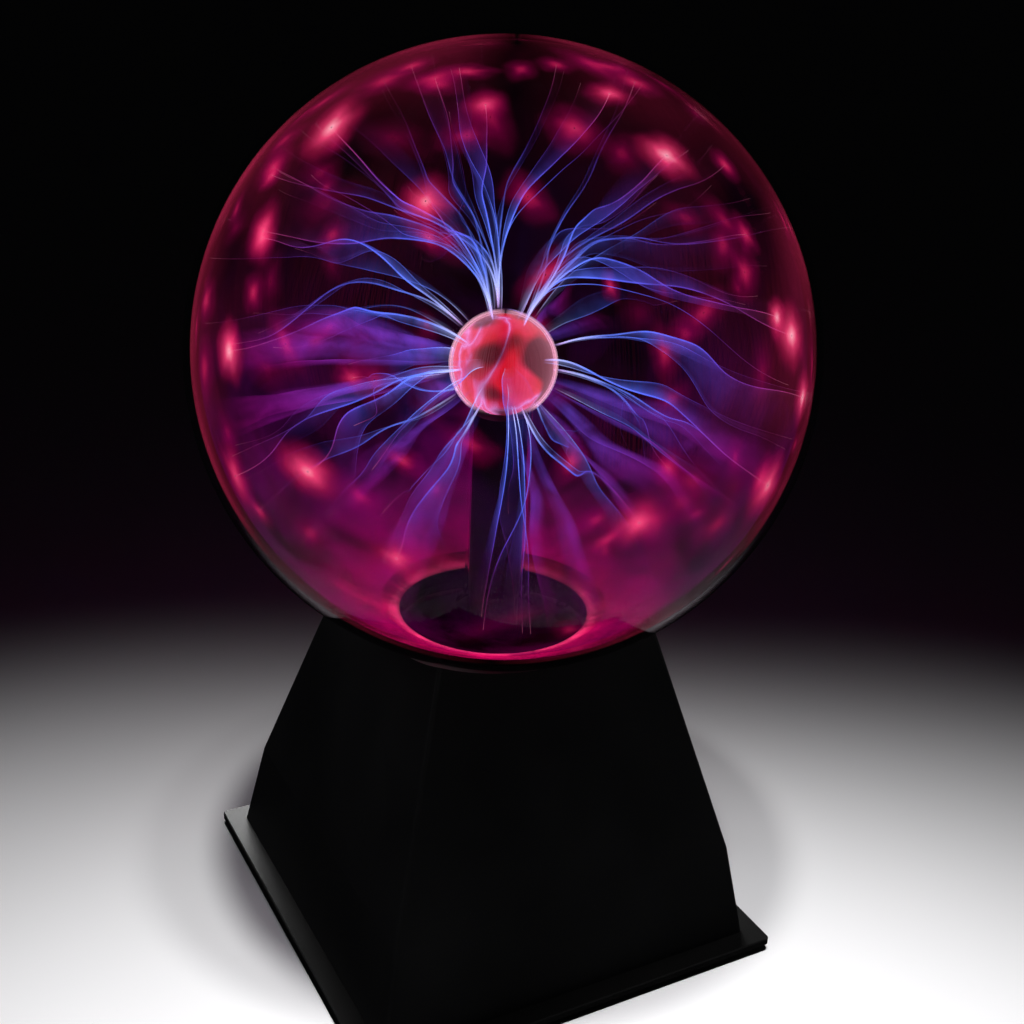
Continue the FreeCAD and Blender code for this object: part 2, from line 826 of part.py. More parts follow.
def rubber_feet():
    """Four stick-on feet, each its own node."""
    names = ("foot_front_left", "foot_front_right", "foot_rear_right", "foot_rear_left")
    points = [
        ("0", "0"),
        ("foot_radius-foot_chamfer", "0"),
        ("foot_radius", "foot_chamfer"),
        ("foot_radius", "foot_height"),
        ("0", "foot_height"),
    ]
    for label, (name, x, y) in zip(names, four("foot", "foot_at", "foot_at")):
        node(turned(name, points, None, (x, y, "0")), label)


# ---------------------------------------------------------------- circuit board and transformer

def circuit_board():
    """Driver board on the plate's standoffs."""
    size = ("2*board_half", "board_back-board_front", "board_thickness")
    blank = box("board_blank", ("-board_half", "board_front", "board_z"), size)
    holes = [
        rod(name, (x, y, "board_z-1"), "board_hole_radius", "board_thickness+2")
        for name, x, y in board_corners("board_hole")
    ]
    node(cut("board", blank, holes), "circuit_board")


def core_half(name, label, yoke_z, leg_z):
    """One U-shaped ferrite: a yoke with two round legs."""
    yoke = slab(name + "_yoke", ("core_x", "core_y"), "core_half", "core_half_width", yoke_z, "yoke_height")
    legs = [
        rod(
            f"{name}_leg_{side + 1}",
            (f"core_x+{side}*leg_offset", "core_y", leg_z),
            "leg_radius",
            "leg_length",
        )
        for side in (-1, 1)
    ]
    node(fuse(name, [yoke] + legs), label)


def ferrite_cores():
    """The two halves of the transformer's core, which meet in the middle of their legs."""
    low = f"{BOARD_TOP}"
    core_half("core_lower", "ferrite_core_lower", low, f"{low}+yoke_height")
    legs_top = f"{low}+yoke_height+2*leg_length"
    core_half("core_upper", "ferrite_core_upper", legs_top, f"{low}+yoke_height+leg_length")


def bobbin(name, x, wall, flange_radius):
    """Flanged former on one leg of the core."""
    low = f"{BOARD_TOP}+yoke_height+bobbin_gap"
    high = f"{BOARD_TOP}+yoke_height+2*leg_length-bobbin_gap"
    inner = "leg_radius+bobbin_gap"
    points = [
        (inner, low),
        (flange_radius, low),
        (flange_radius, f"{low}+bobbin_flange"),
        (f"{inner}+{wall}", f"{low}+bobbin_flange"),
        (f"{inner}+{wall}", f"{high}-bobbin_flange"),
        (flange_radius, f"{high}-bobbin_flange"),
        (flange_radius, high),
        (inner, high),
    ]
    return turned(name, points, None, (x, "core_y", "0"))


def winding(name, x, wall, outer):
    """Coil that fills a bobbin between its flanges."""
    low = f"{BOARD_TOP}+yoke_height+bobbin_gap+bobbin_flange"
    height = "2*(leg_length-bobbin_gap-bobbin_flange)"
    return tube(name, f"leg_radius+bobbin_gap+{wall}", outer, low, height, (x, "core_y", "0"))


def coils():
    """High-voltage coil on the left leg and drive coil on the right one."""
    left = "core_x-leg_offset"
    right = "core_x+leg_offset"
    node(bobbin("hv_former", left, "coil_wall", "coil_flange_radius"), "hv_bobbin")
    node(winding("hv_coil", left, "coil_wall", "coil_radius"), "hv_winding")
    node(bobbin("drive_former", right, "drive_wall", "drive_flange_radius"), "drive_bobbin")
    node(winding("drive_coil", right, "drive_wall", "drive_radius"), "drive_winding")


def hv_lead():
    """Insulated lead from the high-voltage coil up to the electrode rod, with two quarter bends."""
    start_x = "(core_x-leg_offset)"
    start_z = f"{BOARD_TOP}+yoke_height+2*leg_length-bobbin_gap"
    body = doc.addObject("PartDesign::Body", "lead")
    section = new_sketch(body, "XY_Plane", start_z)
    centre = FreeCAD.Vector(value(start_x), 0, 0)
    circle = Part.Circle(centre, FreeCAD.Vector(0, 0, 1), value("lead_radius"))
    section.addGeometry(circle, False)
    hold(section, 0, 3, True, start_x)
    hold(section, 0, 3, False, "0")
    number = section.addConstraint(Sketcher.Constraint("Radius", 0, value("lead_radius")))
    section.setExpression(f"Constraints[{number}]", bound("lead_radius"))
    route = new_sketch(body, "XZ_Plane")
    points = [
        (start_x, start_z),
        (start_x, "lead_run_z-lead_bend", "y"),
        (f"{start_x}+lead_bend", "lead_run_z"),
        ("-lead_bend", "lead_run_z"),
        ("0", "lead_run_z+lead_bend", "y"),
        ("0", "rod_bottom_z"),
    ]
    arcs = {
        1: (f"{start_x}+lead_bend", "lead_run_z-lead_bend", "lead_bend", -1),
        3: ("-lead_bend", "lead_run_z+lead_bend", "lead_bend", 1),
    }
    outline(route, points, arcs, closed=False)
    pipe = body.newObject("PartDesign::AdditivePipe", "lead_pipe")
    pipe.Profile = section
    pipe.Spine = route
    node(body, "hv_lead")


# ---------------------------------------------------------------- parts on the board

def heat_sink():
    """Finned aluminium sink standing on the board."""
    spot = ("sink_x", "sink_y", BOARD_TOP)
    plate = box("sink_plate", spot, ("sink_width", "sink_thickness", "sink_height"))
    fins = [
        box(f"fin_{number}", (f"sink_x+{number}*fin_pitch", "sink_y-fin_depth", BOARD_TOP),
            ("fin_thickness", "fin_depth", "sink_height"))
        for number in range(FIN_COUNT)
    ]
    hole_place = ("package_x", "sink_y", "tab_hole_z")
    hole = rod("sink_hole", hole_place, "boss_hole_radius", "sink_thickness", "y")
    node(cut("sink", fuse("sink_solid", [plate] + fins), [hole]), "heat_sink")


def power_transistor():
    """Transistor with its tab flat on the sink and three leads down to the board."""
    face = "sink_y+sink_thickness"
    left = "package_x-package_half"
    body = box("package", (left, face, "package_z"), ("2*package_half", "package_depth", "package_height"))
    tab = box("tab", (left, face, "package_z"), ("2*package_half", "tab_thickness", "tab_height"))
    leads = [
        box(f"transistor_lead_{side + 1}",
            (f"package_x+{side}*lead_pitch-lead_width/2", f"{face}+package_depth/2", BOARD_TOP),
            ("lead_width", "lead_depth", f"package_z-({BOARD_TOP})"))
        for side in (-1, 0, 1)
    ]
    hole = rod("tab_hole", ("package_x", face, "tab_hole_z"), "boss_hole_radius", "package_depth", "y")
    node(cut("transistor", fuse("transistor_solid", [body, tab] + leads), [hole]), "power_transistor")


def heat_sink_screw():
    """Screw through the transistor's tab into the sink."""
    face = "sink_y+sink_thickness+tab_thickness"
    points = [
        ("0", f"{face}+screw_head_height"),
        ("0", f"{face}-sink_screw_length"),
        ("screw_radius", f"{face}-sink_screw_length"),
        ("screw_radius", face),
        ("screw_head_radius", face),
        ("screw_head_radius", f"{face}+screw_head_height"),
    ]
    node(turned("sink_screw", points, None, ("package_x", "0", "tab_hole_z"), "y"), "heat_sink_screw")


def can_capacitor(name, label, y, radius, height):
    """Upright electrolytic can with its crimp groove near the foot."""
    low = BOARD_TOP
    waist = f"{radius}-cap_groove"
    points = [
        ("0", low),
        (radius, low),
        (radius, f"{low}+cap_groove_height-cap_groove"),
        (waist, f"{low}+cap_groove_height"),
        (radius, f"{low}+cap_groove_height+cap_groove"),
        (radius, f"{low}+{height}-cap_groove"),
        (waist, f"{low}+{height}"),
        ("0", f"{low}+{height}"),
    ]
    node(turned(name, points, None, ("caps_x", y, "0")), label)


def film_capacitor():
    """Box film capacitor."""
    block = box("film_block", ("film_x", "film_y", BOARD_TOP), ("film_length", "film_depth", "film_height"))
    film = doc.addObject("Part::Chamfer", "film")
    film.Base = block
    doc.recompute()
    edge = value("film_edge")
    top = value(f"{BOARD_TOP}+film_height")
    chosen = [
        number for number, side in enumerate(block.Shape.Edges, 1)
        if all(abs(vertex.Z - top) < 0.01 for vertex in side.Vertexes)
    ]
    film.Edges = [(number, edge, edge) for number in chosen]
    node(film, "film_capacitor")


def timer_chip():
    """Eight-legged timer chip."""
    low = f"{BOARD_TOP}+chip_lift"
    pieces = [slab("chip_body", ("chip_x", "chip_y"), "chip_length/2", "chip_width/2", low, "chip_height")]
    for leg in range(CHIP_LEGS_PER_SIDE):
        x = f"chip_x+({leg}-{(CHIP_LEGS_PER_SIDE - 1) / 2})*lead_pitch"
        shoulder = f"{low}+chip_height/2"
        pieces.append(slab(f"chip_bar_{leg}", (x, "chip_y"), "chip_leg_width/2", "chip_leg_span/2",
                           shoulder, "chip_leg_width"))
        for side in (-1, 1):
            y = f"chip_y+{side}*(chip_leg_span-chip_leg_width)/2"
            pieces.append(slab(f"chip_leg_{leg}_{side + 1}", (x, y), "chip_leg_width/2", "chip_leg_width/2",
                               BOARD_TOP, "chip_lift+chip_height/2"))
    node(fuse("chip", pieces), "timer_chip")


def axial_part(name, x, y, radius, length):
    """Axial part lying along X: a body and its wire, bent down to the board at both ends."""
    high = f"{BOARD_TOP}+axial_lift"
    body = rod(name + "_body", (f"{x}-{length}/2", y, high), radius, length)
    body.Placement.Rotation = FreeCAD.Rotation(FreeCAD.Vector(0, 1, 0), 90)
    span = f"({length}/2+wire_radius*2)"
    wire_place = (f"{x}-{span}-wire_radius", y, high)
    wire = rod(name + "_wire", wire_place, "wire_radius", f"2*({span}+wire_radius)")
    wire.Placement.Rotation = FreeCAD.Rotation(FreeCAD.Vector(0, 1, 0), 90)
    legs = [
        slab(f"{name}_leg_{side + 1}", (f"{x}+{side}*{span}", y), "wire_leg_half", "wire_leg_half",
             BOARD_TOP, "axial_lift")
        for side in (-1, 1)
    ]
    return fuse(name, [body, wire] + legs)


def axial_parts():
    """The resistors and the diodes, each kind one group."""
    resistors = [
        axial_part(f"resistor_{number}", "resistor_x", f"(resistor_y+{number}*resistor_pitch)",
                   "resistor_radius", "resistor_length")
        for number in range(RESISTOR_COUNT)
    ]
    node(group("resistor_set", resistors), "resistors")
    diodes = [
        axial_part(f"diode_{number}", "diode_x", f"(diode_y+{number}*diode_pitch)",
                   "diode_radius", "diode_length")
        for number in range(DIODE_COUNT)
    ]
    node(group("diode_set", diodes), "diodes")


def input_choke():
    """Drum-core choke: ferrite drum and its coil."""
    low = BOARD_TOP
    spot = ("choke_x", "choke_y", "0")
    points = [
        ("0", low),
        ("choke_radius", low),
        ("choke_radius", f"{low}+choke_flange"),
        ("choke_waist", f"{low}+choke_flange"),
        ("choke_waist", f"{low}+choke_height-choke_flange"),
        ("choke_radius", f"{low}+choke_height-choke_flange"),
        ("choke_radius", f"{low}+choke_height"),
        ("0", f"{low}+choke_height"),
    ]
    node(turned("drum", points, None, spot), "choke_core")
    height = "choke_height-2*choke_flange"
    coil_z = f"{low}+choke_flange"
    node(
        tube("drum_coil", "choke_waist", "choke_coil_radius", coil_z, height, spot),
        "choke_winding",
    )


# ---------------------------------------------------------------- rear sockets and switch

def power_jack():
    """Low-voltage power inlet: a block with a round nose in the panel, and its centre pin."""
    size = ("2*jack_half", f"{PANEL_BACK}-jack_back", "jack_height")
    block = box("jack_block", ("jack_x-jack_half", "jack_back", BOARD_TOP), size)
    nose = rod("jack_nose", ("jack_x", PANEL_BACK, "socket_z"), "jack_nose_radius",
               f"panel_y-({PANEL_BACK})", "y")
    floor = "panel_y-jack_bore_depth"
    bore = rod("jack_bore", ("jack_x", floor, "socket_z"), "jack_bore_radius", "jack_bore_depth", "y")
    root = rod("jack_root", ("jack_x", f"{floor}-pin_root", "socket_z"), "pin_radius", "pin_root", "y")
    node(cut("jack", fuse("jack_solid", [block, nose]), [bore, root]), "power_jack")
    length = "jack_bore_depth-pin_recess+pin_root"
    pin = rod("jack_pin", ("jack_x", f"{floor}-pin_root", "socket_z"), "pin_radius", length, "y")
    node(pin, "power_jack_pin")


def switch_housing():
    """Slide switch's housing, with the slider's chamber and the slot for its lever."""
    back = f"{PANEL_BACK}-switch_depth"
    size = ("2*switch_half", "switch_depth", "switch_height")
    block = box("switch_block", ("switch_x-switch_half", back, BOARD_TOP), size)
    half = "slider_half+slider_travel+2*slider_gap"
    tall = "slider_half_height+slider_gap"
    spot = (f"switch_x-({half})", f"{back}+switch_back_wall", f"socket_z-({tall})")
    depth = "switch_depth-switch_back_wall-switch_front_wall"
    chamber = box("switch_chamber", spot, (f"2*({half})", depth, f"2*({tall})"))
    slot_half = "lever_half+slider_travel+slider_gap"
    slot_tall = "lever_half_height+slider_gap"
    slot_spot = (f"switch_x-({slot_half})", f"{PANEL_BACK}-switch_front_wall", f"socket_z-({slot_tall})")
    slot = box("switch_slot", slot_spot, (f"2*({slot_half})", "switch_front_wall", f"2*({slot_tall})"))
    node(cut("switch", block, [chamber, slot]), "switch_housing")


def switch_knob():
    """Slider and lever of the switch, in its middle position, with ribs on the lever's end."""
    back = f"{PANEL_BACK}-switch_depth+switch_back_wall+slider_gap"
    depth = "switch_depth-switch_back_wall-switch_front_wall-2*slider_gap"
    slider = box("slider", ("switch_x-slider_half", back, "socket_z-slider_half_height"),
                 ("2*slider_half", depth, "2*slider_half_height"))
    tip = "panel_y+lever_reach"
    lever = box("lever", ("switch_x-lever_half", back, "socket_z-lever_half_height"),
                ("2*lever_half", f"{tip}-({back})", "2*lever_half_height"))
    ribs = [
        box(f"rib_gap_{side + 1}",
            (f"switch_x+{side}*lever_rib_pitch-lever_rib_width/2", f"{tip}-lever_rib_depth",
             "socket_z-lever_half_height"),
            ("lever_rib_width", "lever_rib_depth", "2*lever_half_height"))
        for side in (-1, 0, 1)
    ]
    node(cut("knob", fuse("knob_solid", [slider, lever]), ribs), "switch_knob")


def microphone():
    """Sound pick-up capsule behind the panel's port, in its rubber boot."""
    low = f"{PANEL_BACK}-mic_length"
    node(rod("mic", ("mic_x", low, "socket_z"), "mic_radius", "mic_length", "y"), "microphone")
    spot = ("mic_x", "0", "socket_z")
    boot_low = f"{PANEL_BACK}-mic_boot_length"
    boot = tube("mic_boot", "mic_radius", "mic_boot_radius", boot_low, "mic_boot_length", spot, "y")
    node(boot, "microphone_boot")


# ---------------------------------------------------------------- check and write

def check():
    """Stop unless every object recomputed and every sub-part is a sound solid."""
    doc.recompute()
    for obj in doc.Objects:
        if "Invalid" in obj.State or "Error" in obj.State:
            raise RuntimeError(f"{obj.Name} did not recompute: {obj.State}")
    for obj in nodes:
        shape = obj.Shape
        if shape.isNull() or not shape.isValid() or not shape.Solids:
            raise RuntimeError(f"{obj.Label} has no sound solid")
    lead = next(obj for obj in nodes if obj.Label == "hv_lead").Shape
    bends = math.pi * value("lead_bend")
    rise = value(f"rod_bottom_z-({BOARD_TOP}+yoke_height+2*leg_length-bobbin_gap)-2*lead_bend")
    across = value("leg_offset-core_x-2*lead_bend")
    expected = math.pi * value("lead_radius") ** 2 * (bends + rise + across)
    if abs(lead.Volume / expected - 1) > 0.001:
        raise RuntimeError(f"hv_lead's volume is {lead.Volume:.1f}, not {expected:.1f}")


def write():
    """One STEP file for each sub-part."""
    os.makedirs("parts", exist_ok=True)
    for obj in nodes:
        obj.Shape.exportStep(f"parts/{obj.Label}.step")
        solids = len(obj.Shape.Solids)
        print(f"{obj.Label}: {solids} solid(s), {obj.Shape.Volume / 1000:.2f} cm3")


fill_sheet()
globe_envelope()
stem_glass()
exhaust_tube()
electrode_wool()
electrode_rod()
stem_sleeve()
neck_cap()
neck_sealant()
globe_gasket()
globe_clamp()
clamp_screws()
base_shell()
base_plate()
base_screws()
rubber_feet()
circuit_board()
board_screws()
ferrite_cores()
coils()
hv_lead()
heat_sink()
power_transistor()
heat_sink_screw()
can_capacitor("supply_can", "supply_capacitor", "supply_cap_y", "supply_cap_radius", "supply_cap_height")
can_capacitor("filter_can", "filter_capacitor", "filter_cap_y", "filter_cap_radius", "filter_cap_height")
film_capacitor()
timer_chip()
axial_parts()
input_choke()
power_jack()
switch_housing()
switch_knob()
microphone()
check()
write()
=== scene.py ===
"""Looks for the plasma ball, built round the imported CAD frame. Metres, in the CAD's own frame."""

import math
import random

import bpy
from mathutils import Matrix, Vector, noise


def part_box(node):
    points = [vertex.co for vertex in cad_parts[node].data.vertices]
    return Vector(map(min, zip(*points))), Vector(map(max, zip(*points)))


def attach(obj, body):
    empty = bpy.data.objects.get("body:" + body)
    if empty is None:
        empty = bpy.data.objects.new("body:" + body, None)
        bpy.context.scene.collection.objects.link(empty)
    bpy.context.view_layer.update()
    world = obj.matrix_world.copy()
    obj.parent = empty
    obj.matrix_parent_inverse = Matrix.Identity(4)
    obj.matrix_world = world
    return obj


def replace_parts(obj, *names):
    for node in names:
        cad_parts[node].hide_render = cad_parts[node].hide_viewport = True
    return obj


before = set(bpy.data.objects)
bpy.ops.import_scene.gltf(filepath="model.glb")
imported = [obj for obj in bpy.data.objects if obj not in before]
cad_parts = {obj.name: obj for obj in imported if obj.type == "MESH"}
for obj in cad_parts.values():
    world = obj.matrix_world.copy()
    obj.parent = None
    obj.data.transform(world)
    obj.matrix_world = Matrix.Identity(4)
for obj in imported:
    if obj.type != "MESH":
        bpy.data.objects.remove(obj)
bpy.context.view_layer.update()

MM = 0.001
UP = Vector((0, 0, 1))
BODY = "base"
ATTRIBUTE = "arc"

# ---------------------------------------------------------------- places, from the CAD

globe_low, globe_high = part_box("globe_envelope")
stem_low, stem_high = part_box("stem_glass")
wool_low, wool_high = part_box("electrode_wool")

GLOBE_WALL = 2.0 * MM
STEM_WALL = 1.2 * MM
NECK_RADIUS = 35.0 * MM
NECK_FILLET = 3.0 * MM
TUBE_RADIUS = 10.4 * MM
FLARE_ARC = 13.6 * MM
FLARE_RIM = 32.9 * MM
SKIN_GAP = 0.5 * MM  # between the glass and the spots where streamers meet it

globe_radius = (globe_high.x - globe_low.x) / 2
centre = Vector((0, 0, globe_high.z - globe_radius))
inner_radius = globe_radius - GLOBE_WALL
skin_radius = inner_radius - SKIN_GAP
wool_radius = (wool_high.x - wool_low.x) / 2
bulb_centre = Vector((0, 0, wool_high.z - wool_radius))
bulb_radius = stem_high.z - bulb_centre.z
flare_top = stem_low.z + STEM_WALL


def direction(azimuth, elevation):
    """Unit vector at an azimuth from +X and an elevation, in degrees."""
    around, above = math.radians(azimuth), math.radians(elevation)
    flat = math.cos(above)
    return Vector((math.cos(around) * flat, math.sin(around) * flat, math.sin(above)))


def across(axis):
    """Two unit vectors square to axis and to each other."""
    side = axis.cross(UP if abs(axis.z) < 0.9 else Vector((1, 0, 0))).normalized()
    return side, axis.cross(side).normalized()


# ---------------------------------------------------------------- node trees


class Tree:
    """One material's nodes, with a short call for each kind used here."""

    def __init__(self, name):
        self.material = bpy.data.materials.new(name)
        self.material.use_nodes = True
        self.nodes = self.material.node_tree.nodes
        self.links = self.material.node_tree.links
        self.nodes.clear()
        self.output = self.nodes.new("ShaderNodeOutputMaterial")

    def add(self, kind, inputs=None, **settings):
        """A node of this kind. An input is a value, or a socket to link from."""
        made = self.nodes.new(kind)
        for key, value in settings.items():
            setattr(made, key, value)
        for key, value in (inputs or {}).items():
            self.put(made.inputs[key], value)
        return made

    def put(self, socket, value):
        if isinstance(value, bpy.types.NodeSocket):
            self.links.new(value, socket)
        elif isinstance(value, tuple) and len(value) == 3 and socket.type == "RGBA":
            socket.default_value = (*value, 1.0)
        else:
            socket.default_value = value

    def maths(self, operation, first, second=0.0, clamp=False):
        made = self.add("ShaderNodeMath", {0: first, 1: second}, operation=operation)
        made.use_clamp = clamp
        return made.outputs[0]

    def place(self):
        """Object coordinates, which are the CAD's own."""
        return self.add("ShaderNodeTexCoord").outputs["Object"]

    def stretched(self, scale):
        """Object coordinates scaled along each axis, for a pattern with a direction."""
        mapping = self.add("ShaderNodeMapping", {"Vector": self.place()})
        mapping.inputs["Scale"].default_value = scale
        return mapping.outputs["Vector"]

    def noise(self, scale, detail=3.0, roughness=0.5, distortion=0.0, where=None):
        inputs = {
            "Vector": where or self.place(),
            "Scale": scale,
            "Detail": detail,
            "Roughness": roughness,
            "Distortion": distortion,
        }
        return self.add("ShaderNodeTexNoise", inputs).outputs["Fac"]

    def ramp(self, factor, stops, smooth=False):
        """A colour ramp. A stop is (position, colour or grey level)."""
        made = self.add("ShaderNodeValToRGB", {"Fac": factor})
        band = made.color_ramp
        band.interpolation = "EASE" if smooth else "LINEAR"
        while len(band.elements) < len(stops):
            band.elements.new(0.5)
        for element, (position, colour) in zip(band.elements, stops):
            if isinstance(colour, (int, float)):
                colour = (colour, colour, colour)
            element.position = position
            element.color = (*colour, 1.0)
        return made.outputs["Color"]

    def mix(self, factor, first, second):
        made = self.add("ShaderNodeMix", data_type="RGBA")
        self.put(made.inputs["Factor"], factor)
        self.put(made.inputs[6], first)
        self.put(made.inputs[7], second)
        return made.outputs[2]

    def bump(self, height, distance, strength=0.6):
        inputs = {"Height": height, "Distance": distance, "Strength": strength}
        return self.add("ShaderNodeBump", inputs).outputs["Normal"]

    def done(self, shader):
        self.links.new(shader, self.output.inputs["Surface"])
        return self.material


def surface(name, colour, worn, roughness, metallic=0.0, mottle=60.0, grain=1800.0, depth=0.03,
            spread=0.08, specular=0.5, coat=0.0, pattern=None):
    """A solid finish: mottled colour, uneven roughness and a fine relief, depth in mm.

    pattern adds to the colour and gives the relief its own shape.
    """
    tree = Tree(name)
    patches = tree.noise(mottle, 5.0, 0.6)
    fine = tree.noise(grain, 2.0, 0.55)
    tone = tree.ramp(patches, [(0.32, 0.0), (0.70, 1.0)])
    shade = tree.mix(tone, colour, worn)
    height = fine
    if pattern:
        shade, height = pattern(tree, shade, fine)
    smudges = tree.noise(mottle * 0.6, 4.0, 0.7, 0.6)
    rough = tree.ramp(smudges, [(0.3, roughness - spread), (0.75, roughness + spread)])
    inputs = {
        "Base Color": shade,
        "Metallic": metallic,
        "Roughness": rough,
        "Specular IOR Level": specular,
        "Coat Weight": coat,
        "Coat Roughness": 0.15,
        "Normal": tree.bump(height, depth * MM),
    }
    return tree.done(tree.add("ShaderNodeBsdfPrincipled", inputs).outputs[0])


def wound(pitch, dark):
    """Pattern for a coil: round wires side by side, stacked along Z at this pitch, with painted shade between
    them.
    """

    def pattern(tree, shade, fine):
        wires = tree.add(
            "ShaderNodeTexWave",
            {"Vector": tree.place(), "Scale": math.pi / (10 * pitch), "Distortion": 0.6, "Detail": 1.0},
            bands_direction="Z",
        ).outputs["Fac"]
        # the dark colour is painted shade in the grooves between the wires
        return tree.mix(tree.ramp(wires, [(0.0, 0.0), (0.45, 1.0)]), dark, shade), wires

    return pattern


def brushed(tree, shade, fine):
    """Pattern for rolled or turned metal: fine lines in one direction."""
    lines = tree.noise(400.0, 4.0, 0.7, where=tree.stretched((0.05, 1.0, 3.0)))
    return tree.mix(tree.ramp(lines, [(0.35, 0.0), (0.7, 0.5)]), shade, (0.9, 0.9, 0.9)), lines


def tracked(tree, shade, fine):
    """Pattern for the circuit board: raised copper runs under the green lacquer."""
    runs = tree.add(
        "ShaderNodeTexVoronoi",
        {"Vector": tree.place(), "Scale": 210.0, "Randomness": 0.7},
        feature="F1",
        distance="MANHATTAN",
    ).outputs["Distance"]
    edge = tree.ramp(runs, [(0.46, 0.0), (0.50, 1.0), (0.58, 1.0), (0.62, 0.0)])
    return tree.mix(edge, shade, (0.03, 0.16, 0.06)), edge


def speckled(tree, shade, fine):
    """Pattern for sintered or filled material: bright specks."""
    specks = tree.ramp(tree.noise(900.0, 3.0, 0.8), [(0.60, 0.0), (0.70, 0.6)])
    return tree.mix(specks, shade, (0.16, 0.16, 0.17)), fine


def moulded(tree, shade, fine):
    """Pattern for the spark-eroded mould texture on the black housings: soft pits over a fine tooth."""
    pits = tree.add(
        "ShaderNodeTexVoronoi",
        {"Vector": tree.place(), "Scale": 1300.0, "Randomness": 1.0},
        feature="SMOOTH_F1",
    ).outputs["Distance"]
    height = tree.maths("ADD", tree.maths("MULTIPLY", pits, 0.7), tree.maths("MULTIPLY", fine, 0.5))
    dust = tree.ramp(tree.noise(2600.0, 1.0, 0.5), [(0.74, 0.0), (0.80, 0.5)])
    return tree.mix(dust, shade, (0.06, 0.06, 0.065)), height


